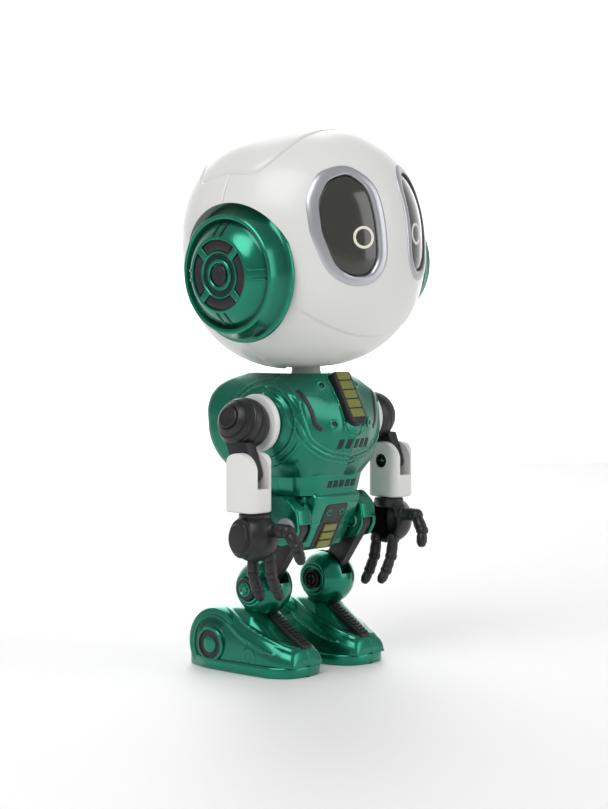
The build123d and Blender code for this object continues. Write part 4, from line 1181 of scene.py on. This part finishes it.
# %% Sleeve and elbow
def sleeve(side):
    """White forearm: two cheeks arched about the elbow pin, open in front for the tongue."""
    kit = Kit()
    flip = mirror_x(side)
    plan = rounded([(19.95, -9.05), (27.15, -9.05), (27.15, -0.55), (19.95, -0.55)], 2.1, 8)
    kit.block(plan, 36.0, 48.45, SLEEVE, flip, 0.5, 5)
    made = kit.finish("sleeve")
    tool = Kit()
    arch = [(-12, 44.2), (-9.1, 44.2)] + [
        (-4.8 + 4.3 * cos(a), 44.2 + 4.25 * sin(a)) for a in np.linspace(pi, 0, 24)
    ] + [(-0.45, 44.2), (3, 44.2), (3, 52), (-12, 52)]
    tool.block(arch, 18, 29, SLEEVE, flip @ TO_SIDE, 0.001, 1)
    cut(made, tool.finish("tool"))
    tool = Kit()
    slot = rounded(
        [(-12, 41.0), (-1.4, 41.0), (-1.4, 43.6), (3, 45.2), (3, 52), (-12, 52)],
        [0.1, 1.0, 0.8, 0.5, 0.1, 0.1], 4,
    )
    tool.block(slot, 21.75, 25.35, SLEEVE, flip @ TO_SIDE, 0.001, 1)
    cut(made, tool.finish("tool"))
    tool = Kit()
    tool.turn([(0, 0), (1.6, 0), (1.6, 3), (0, 3)], flip @ aim((20.6, *ELBOW[1:]), (-1, 0, 0)), SLEEVE, 40)
    cut(made, tool.finish("tool"))
    soft = made.modifiers.new("edge", "BEVEL")
    soft.width = 0.22 * MM
    soft.segments = 2
    soft.angle_limit = radians(40)
    soft.harden_normals = True
    return made


for side, word in ((1, "left"), (-1, "right")):
    place(upper_arm(side), f"upper_arm_{word}", f"arm_{word}")
    kit = Kit()
    kit.turn(
        [(2.52, 16.3), (6.0, 16.32), (6.18, 16.5), (6.19, 17.4), (6.0, 17.85), (5.6, 17.98), (2.52, 17.98)],
        mirror_x(side) @ aim((0, *SHOULDER[1:]), (1, 0, 0)), WHITE, 72,
    )
    place(kit.finish("disc"), f"shoulder_disc_{word}", f"arm_{word}")
    place(sleeve(side), f"forearm_{word}", f"forearm_{word}")
    kit = Kit()
    cross_screw(kit, mirror_x(side) @ aim((20.14, *ELBOW[1:]), (-1, 0, 0)), 1.52, STEEL, 0.5, (0.98, 6.0))
    place(kit.finish("screw"), f"elbow_screw_{word}", f"forearm_{word}")

# %% [markdown]
# The hand is a thin cup, open towards the body, with an oval stepped boss on its back. Every finger is a
# chain of three bulging links, and the thumb has a knuckle.

# %% Hands
def link(kit, start, end, thick, thin):
    """One finger link: a waisted rod with rounded knuckles."""
    a, b = Vector(start), Vector(end)
    long = (b - a).length
    profile = [(AXIS, -0.92 * thick)]
    profile += [(thick * sin(t), -0.92 * thick * cos(t)) for t in np.linspace(0.3, pi / 2, 6)]
    profile += [
        (thick * 0.98, long * 0.14), (thick * 0.9, long * 0.20), (thin * 0.86, long * 0.24),
        (thin * 0.92, long * 0.30), (thin, long * 0.55), (thin * 0.96, long * 0.86), (thin * 0.8, long),
    ]
    profile += [(thin * 0.8 * cos(t), long + thin * 0.6 * sin(t)) for t in np.linspace(0.3, 1.5, 4)]
    kit.turn([(max(r, AXIS), h) for r, h in profile], aim(a, b - a), BLACK, 24)


FINGERS = (
    ((20.6, -3.2, 26.6), (20.2, -2.9, 22.6), (18.8, -2.6, 19.4), (17.3, -2.4, 17.0)),
    ((20.6, -8.0, 26.8), (20.0, -7.9, 22.9), (18.5, -7.7, 19.8), (16.9, -7.5, 17.6)),
)
THUMB = ((21.8, -9.4, 32.4), (21.5, -13.8, 32.4), (20.9, -16.0, 29.2), (20.2, -16.4, 26.2))


def hand(side):
    """Cupped palm with its boss and wrist peg, two fingers and a thumb."""
    kit = Kit()
    flip = mirror_x(side)
    open_at = np.arccos(1.9 / 5.25)
    outer = [(5.25 * sin(a) + 0.01, -5.25 * cos(a)) for a in np.linspace(0, pi - open_at, 30)]
    lip_r = 5.25 * sin(open_at)
    inner = [(4.55 * sin(a) + 0.01, -4.55 * cos(a)) for a in np.linspace(pi - np.arccos(1.9 / 4.55), 0, 26)]
    profile = outer + [(lip_r - 0.1, 2.05), (lip_r - 0.32, 2.08)] + inner
    kit.turn(profile, flip @ aim(PALM, (-1, 0, 0)), BLACK, 72)
    pad = flip @ aim((26.2, *PALM[1:]), (1, 0, 0), (0, 0, 1)) @ Matrix.Diagonal((1.25, 0.95, 1, 1))
    kit.turn(
        [
            (3.3, -2.0), (3.3, 0.5), (3.15, 0.75), (2.7, 0.8), (2.55, 0.95), (2.5, 1.5), (2.35, 1.72),
            (2.0, 1.78), (AXIS, 1.8),
        ],
        pad, BLACK, 56,
    )
    kit.turn(
        [(1.96, 34.6), (1.98, 39.0), (1.7, 39.12), (AXIS, 39.12)],
        flip @ Matrix.Translation((*PALM[:2], 0)), BLACK, 32,
    )
    kit.turn(
        [(3.0, 33.8), (3.3, 34.4), (3.3, 35.5), (3.1, 35.75), (1.9, 35.78)],
        flip @ Matrix.Translation((*PALM[:2], 0)), BLACK, 40,
    )
    for chain in FINGERS:
        sizes = ((1.42, 1.28), (1.36, 1.22), (1.3, 1.15))
        for (start, end), (thick, thin) in zip(zip(chain, chain[1:]), sizes):
            link(kit, flip @ Vector(start), flip @ Vector(end), thick, thin)
    for (start, end), (thick, thin) in zip(zip(THUMB, THUMB[1:]), ((1.6, 1.5), (1.55, 1.35), (1.4, 1.2))):
        link(kit, flip @ Vector(start), flip @ Vector(end), thick, thin)
    return kit.finish("hand")


for side, word in ((1, "left"), (-1, "right")):
    place(hand(side), f"hand_{word}", f"hand_{word}")

# %% [markdown]
# ## Legs and shoes
#
# A flat black link joins each hip to a slotted ball on top of the shoe. The shoe is cast in two halves:
# sole rim, heel drum, side wedge with raised beads, toe block and a ribbed black tread up the front.

# %% Shoe form
KNEE = aim((LEG_X, BALL_Y, BALL_Z), (1, 0, 0))
SHOE_TOP = eased(
    [
        (-9.9, 2.4), (-9.75, 4.2), (-9.2, 5.7), (-7.6, 6.6), (-4.9, 7.9), (0.6, 11.9), (2.8, 13.6),
        (6.0, 13.9), (10.5, 13.5), (16.2, 12.0), (19.4, 8.8), (20.5, 4.6), (20.7, 2.4),
    ],
    6,
)
SHOE_RIDGES = (
    eased([(12.5, 13.2), (8.5, 12.6), (3.9, 10.9), (-1.0, 8.7), (-4.9, 7.1), (-8.5, 6.0)]),
    eased([(12.6, 11.6), (9.2, 10.6), (5.0, 8.4), (1.6, 6.9), (-1.5, 5.8), (-5.0, 5.0)]),
)


def shoe_upper(kit, flip, sign, outer):
    """The shoe above its sole: an arched loft from toe to heel, with two raised ridges along its side."""
    order = np.argsort(SHOE_TOP[:, 0])
    rows = []
    for t in np.linspace(0, 1, 110):
        y = -9.85 + 30.5 * t
        top = float(np.interp(y, SHOE_TOP[order, 0], SHOE_TOP[order, 1]))
        wide = 6.75 * max(1 - abs((y - 4.4) / 16.6) ** 3.2, 0) ** 0.42 + 0.1
        row = []
        for v in np.linspace(0, pi / 2, 46):
            x = wide * max(cos(v), 0) ** 0.62
            z = 2.3 + (top - 2.3) * sin(v) ** 0.85
            push = 0.0
            if z > 3.4:
                push = max(bead(near(line, np.array([y, z])), 0.42, 0.34) for line in SHOE_RIDGES)
            mark = sqrt((y - 1.2) ** 2 + (z - 3.9) ** 2)
            push += bead(mark - 1.55, 0.25, 0.16) if outer else 0
            push -= 0.16 * float(smooth_step(1 - x / 0.25))
            row.append((LEG_X + sign * (x + push * cos(v) + 0.03), y, z + push * sin(v)))
        rows.append(row)
    rows = [[(x, y, 2.2) for x, y, z in rows[0]]] + rows + [[(x, y, 2.2) for x, y, z in rows[-1]]]
    kit.skin(rows, GREEN, closed=False, matrix=flip)

# %% [markdown]
# The ball is turned and then cut: a fan-shaped slot lets the link swing, and a round pocket clears its end.
# The heel drum reaches below the sole, so whatever of it lies under the ground is pressed flat.

# %% Shoe castings
def shoe_half(side, outer):
    """One casting of a shoe: sole rim, arched upper, heel drum and half of the slotted ball."""
    kit = Kit()
    flip = mirror_x(side)
    sign = 1 if outer else -1
    near_x = LEG_X + sign * 0.04
    x_far = LEG_X + sign * 7.65
    corners = [
        (near_x, -10.15), (LEG_X + sign * 5.0, -9.5), (x_far - sign * 0.1, -5.0), (x_far, 4.0),
        (x_far - sign * 0.3, 14.0), (LEG_X + sign * 4.6, 21.65), (near_x, 21.65),
    ]
    sole = rounded(corners, [0.05, 6.0, 6.0, 20.0, 8.0, 5.0, 0.05], 6)
    kit.block(sole, 0.02, 2.45, GREEN, flip, 0.45)
    shoe_upper(kit, flip, sign, outer)
    drum = flip @ aim((LEG_X, *HEEL), (sign, 0, 0))
    profile = [
        (7.95, 0.04), (7.95, 5.2), (7.7, 5.7), (7.2, 5.85), (6.4, 5.85), (6.3, 6.1), (5.9, 6.15),
        (5.7, 5.9), (4.6, 6.0), (4.2, 6.3), (3.8, 6.5),
    ]
    if outer:
        profile += [(3.8, 7.1), (3.6, 7.35), (3.2, 7.38)]
        kit.turn([(3.25, 7.3), (3.1, 7.05), (1.9, 7.05), (1.8, 7.2)], drum, BLACK, 48)
        kit.turn([(1.82, 6.9), (1.78, 7.3), (1.55, 7.38), (AXIS, 7.38)], drum, GREEN, 40)
    else:
        profile += [(AXIS, 6.5)]
    kit.turn(profile, drum, GREEN, 80)
    for vert in kit.mesh.verts:
        vert.co.z = max(vert.co.z, 0.02)
    made = kit.finish("shoe")
    kit = Kit()
    half_ball = [(AXIS, 0.04)] + [
        (BALL_R * cos(a), BALL_R * sin(a)) for a in np.linspace(0.006, radians(49), 34)
    ]
    rings = [
        (3.85, 4.9), (3.62, 5.05), (3.4, 5.05), (3.2, 4.95), (3.1, 5.25), (2.75, 5.35), (2.4, 5.2),
        (2.3, 4.95), (AXIS, 4.95),
    ]
    kit.turn(half_ball + rings, flip @ aim((LEG_X, BALL_Y, BALL_Z), (sign, 0, 0)), GREEN, 96)
    ball = kit.finish("ball")
    tool = Kit()
    fan = [(BALL_Y - 9 * sin(a), BALL_Z + 9 * cos(a)) for a in np.radians(np.linspace(-18, 78, 8))]
    tool.block([(BALL_Y, BALL_Z)] + fan, LEG_X - 1.7, LEG_X + 1.7, BLACK, flip @ TO_SIDE, 0.001, 1)
    cut(ball, tool.finish("tool"))
    tool = Kit()
    tool.turn([(AXIS, -1.7), (4.1, -1.7), (4.1, 1.7), (AXIS, 1.7)], flip @ KNEE, BLACK, 40)
    cut(ball, tool.finish("tool"))
    join(made, ball)
    return made


for side, word in ((1, "left"), (-1, "right")):
    for outer, half in ((True, "outer"), (False, "inner")):
        place(shoe_half(side, outer), f"foot_{half}_half_{word}", f"foot_{word}")
    flip = mirror_x(side)
    kit = Kit()
    bone = []
    for y, z, radius, turn in ((*HIP, 2.55, 34), (BALL_Y, BALL_Z, 2.3, 214)):
        for a in np.radians(np.linspace(turn, turn + 180, 15)):
            bone.append((y + radius * cos(a), z + radius * sin(a)))
    kit.block(bone, LEG_X - 1.28, LEG_X + 1.28, BLACK, flip @ TO_SIDE, 0.25)
    place(kit.finish("link"), f"leg_link_{word}", f"leg_{word}")
    kit = Kit()
    kit.turn(
        [(1.45, 7.8), (1.45, 13.2), (2.15, 13.2), (2.2, 13.35), (2.18, 13.9), (2.0, 14.08), (AXIS, 14.08)],
        flip @ aim((0, *HIP), (1, 0, 0)), GREY, 40,
    )
    place(kit.finish("pin"), f"hip_pin_{word}", "torso")
    kit = Kit()
    cross_screw(kit, flip @ aim((LEG_X - 5.58, BALL_Y, BALL_Z), (-1, 0, 0)), 2.08, STEEL, 0.6, (0.98, 9.4))
    place(kit.finish("screw"), f"knee_screw_{word}", f"foot_{word}")
    kit = Kit()
    knee = flip @ KNEE
    kit.turn([(2.45, 5.02), (2.45, 6.0), (2.3, 6.2), (1.75, 6.2), (1.6, 6.0)], knee, BLACK, 40)
    kit.turn(
        [(1.7, 5.9), (1.6, 6.3), (1.3, 6.38), (1.1, 6.2), (0.8, 6.2), (0.7, 6.36), (AXIS, 6.38)], knee,
        GREEN, 40,
    )
    place(kit.finish("cap"), f"knee_cap_{word}", f"foot_{word}")
    kit = Kit()
    tread = [(1.1, 11.25), (0.55, 12.55), (-9.15, 6.5), (-8.6, 5.3)]
    kit.block(rounded(tread, 0.2, 3), LEG_X - 0.7 - 1.5, LEG_X - 0.7 + 1.5, BLACK, flip @ TO_SIDE, 0.2)
    start, end = Vector((0, 0.0, 12.25)), Vector((0, -8.7, 6.75))
    for i in range(11):
        spot = start.lerp(end, (i + 0.5) / 11) + Vector((LEG_X - 0.7, 0, 0))
        rib = rounded([(-1.15, -0.27), (1.15, -0.27), (1.15, 0.27), (-1.15, 0.27)], 0.1, 2)
        kit.block(rib, -0.2, 0.3, BLACK, flip @ aim(spot, (0, -0.53, 0.85), (1, 0, 0)), 0.08)
    place(kit.finish("tread"), f"foot_tread_{word}", f"foot_{word}")

# %% [markdown]
# ## Setting
#
# A white paper sweep stands under a large soft key from the upper left, a fill in front of the robot's
# left side, a soft rim from behind and a lamp that faces away from the robot to whiten the paper. The
# camera looks slightly down at the robot's right front.

# %% Floor
def mesh_object(name, points, faces, look):
    """An object made from points and faces in metres."""
    data = bpy.data.meshes.new(name)
    data.from_pydata(points, [], faces)
    data.materials.append(look)
    made = bpy.data.objects.new(name, data)
    bpy.context.scene.collection.objects.link(made)
    return made


PAPER = finish("white sweep", "fbfbfb", "f6f6f6", 400.0, (0.55, 0.65))
curve = [(-1.4, 0.0)] + [
    (0.75 + 0.5 * sin(a), 0.5 - 0.5 * cos(a)) for a in np.linspace(0, pi / 2, 16)
] + [(1.25, 2.4)]
points = [(x, y, z) for y, z in curve for x in (-2.4, 2.4)]
faces = [(2 * i, 2 * i + 1, 2 * i + 3, 2 * i + 2) for i in range(len(curve) - 1)]
sweep = mesh_object("sweep", points, faces, PAPER)
sweep.rotation_euler = (0, 0, radians(-48.5))
for polygon in sweep.data.polygons:
    polygon.use_smooth = True

# %% Light
def panel_light(name, spot, target, size, power):
    """A white rectangular soft box at spot, facing target."""
    data = bpy.data.lights.new(name, "AREA")
    data.shape = "RECTANGLE"
    data.size, data.size_y = size
    data.energy = power
    made = bpy.data.objects.new(name, data)
    made.location = spot
    made.rotation_euler = (Vector(target) - Vector(spot)).to_track_quat("-Z", "Y").to_euler()
    bpy.context.scene.collection.objects.link(made)
    return made


CENTRE = (0, 0, 0.06)
panel_light("key", (-0.45, -0.10, 0.55), CENTRE, (0.40, 0.45), 2.0)
panel_light("fill", (0.25, -0.55, 0.25), CENTRE, (0.3, 0.5), 0.8)
panel_light("rim", (0.30, 0.35, 0.45), CENTRE, (0.3, 0.5), 0.9)
panel_light("backdrop", (0.50, 0.44, 0.45), (1.00, 0.88, 0.30), (0.9, 0.7), 9.0)

world = bpy.data.worlds.new("studio")
world.use_nodes = True
world.node_tree.nodes["Background"].inputs["Color"].default_value = (1, 1, 1, 1)
world.node_tree.nodes["Background"].inputs["Strength"].default_value = 0.42
bpy.context.scene.world = world

# %% Camera
CAMERA_AT, CAMERA_SIGHT = (-0.315286, -0.278321, 0.0780), (0.748065, 0.661832, -0.048751)
SENSOR_MM, LENS_MM = 36, 85.44
camera = bpy.data.objects.new("camera", bpy.data.cameras.new("camera"))
bpy.context.scene.collection.objects.link(camera)
bpy.context.scene.camera = camera
camera.data.sensor_width = SENSOR_MM
camera.data.sensor_fit = "AUTO"
camera.data.lens = LENS_MM
camera.location = CAMERA_AT
camera.rotation_euler = Vector(CAMERA_SIGHT).to_track_quat("-Z", "Y").to_euler()
bpy.context.scene.view_settings.view_transform = "Standard"
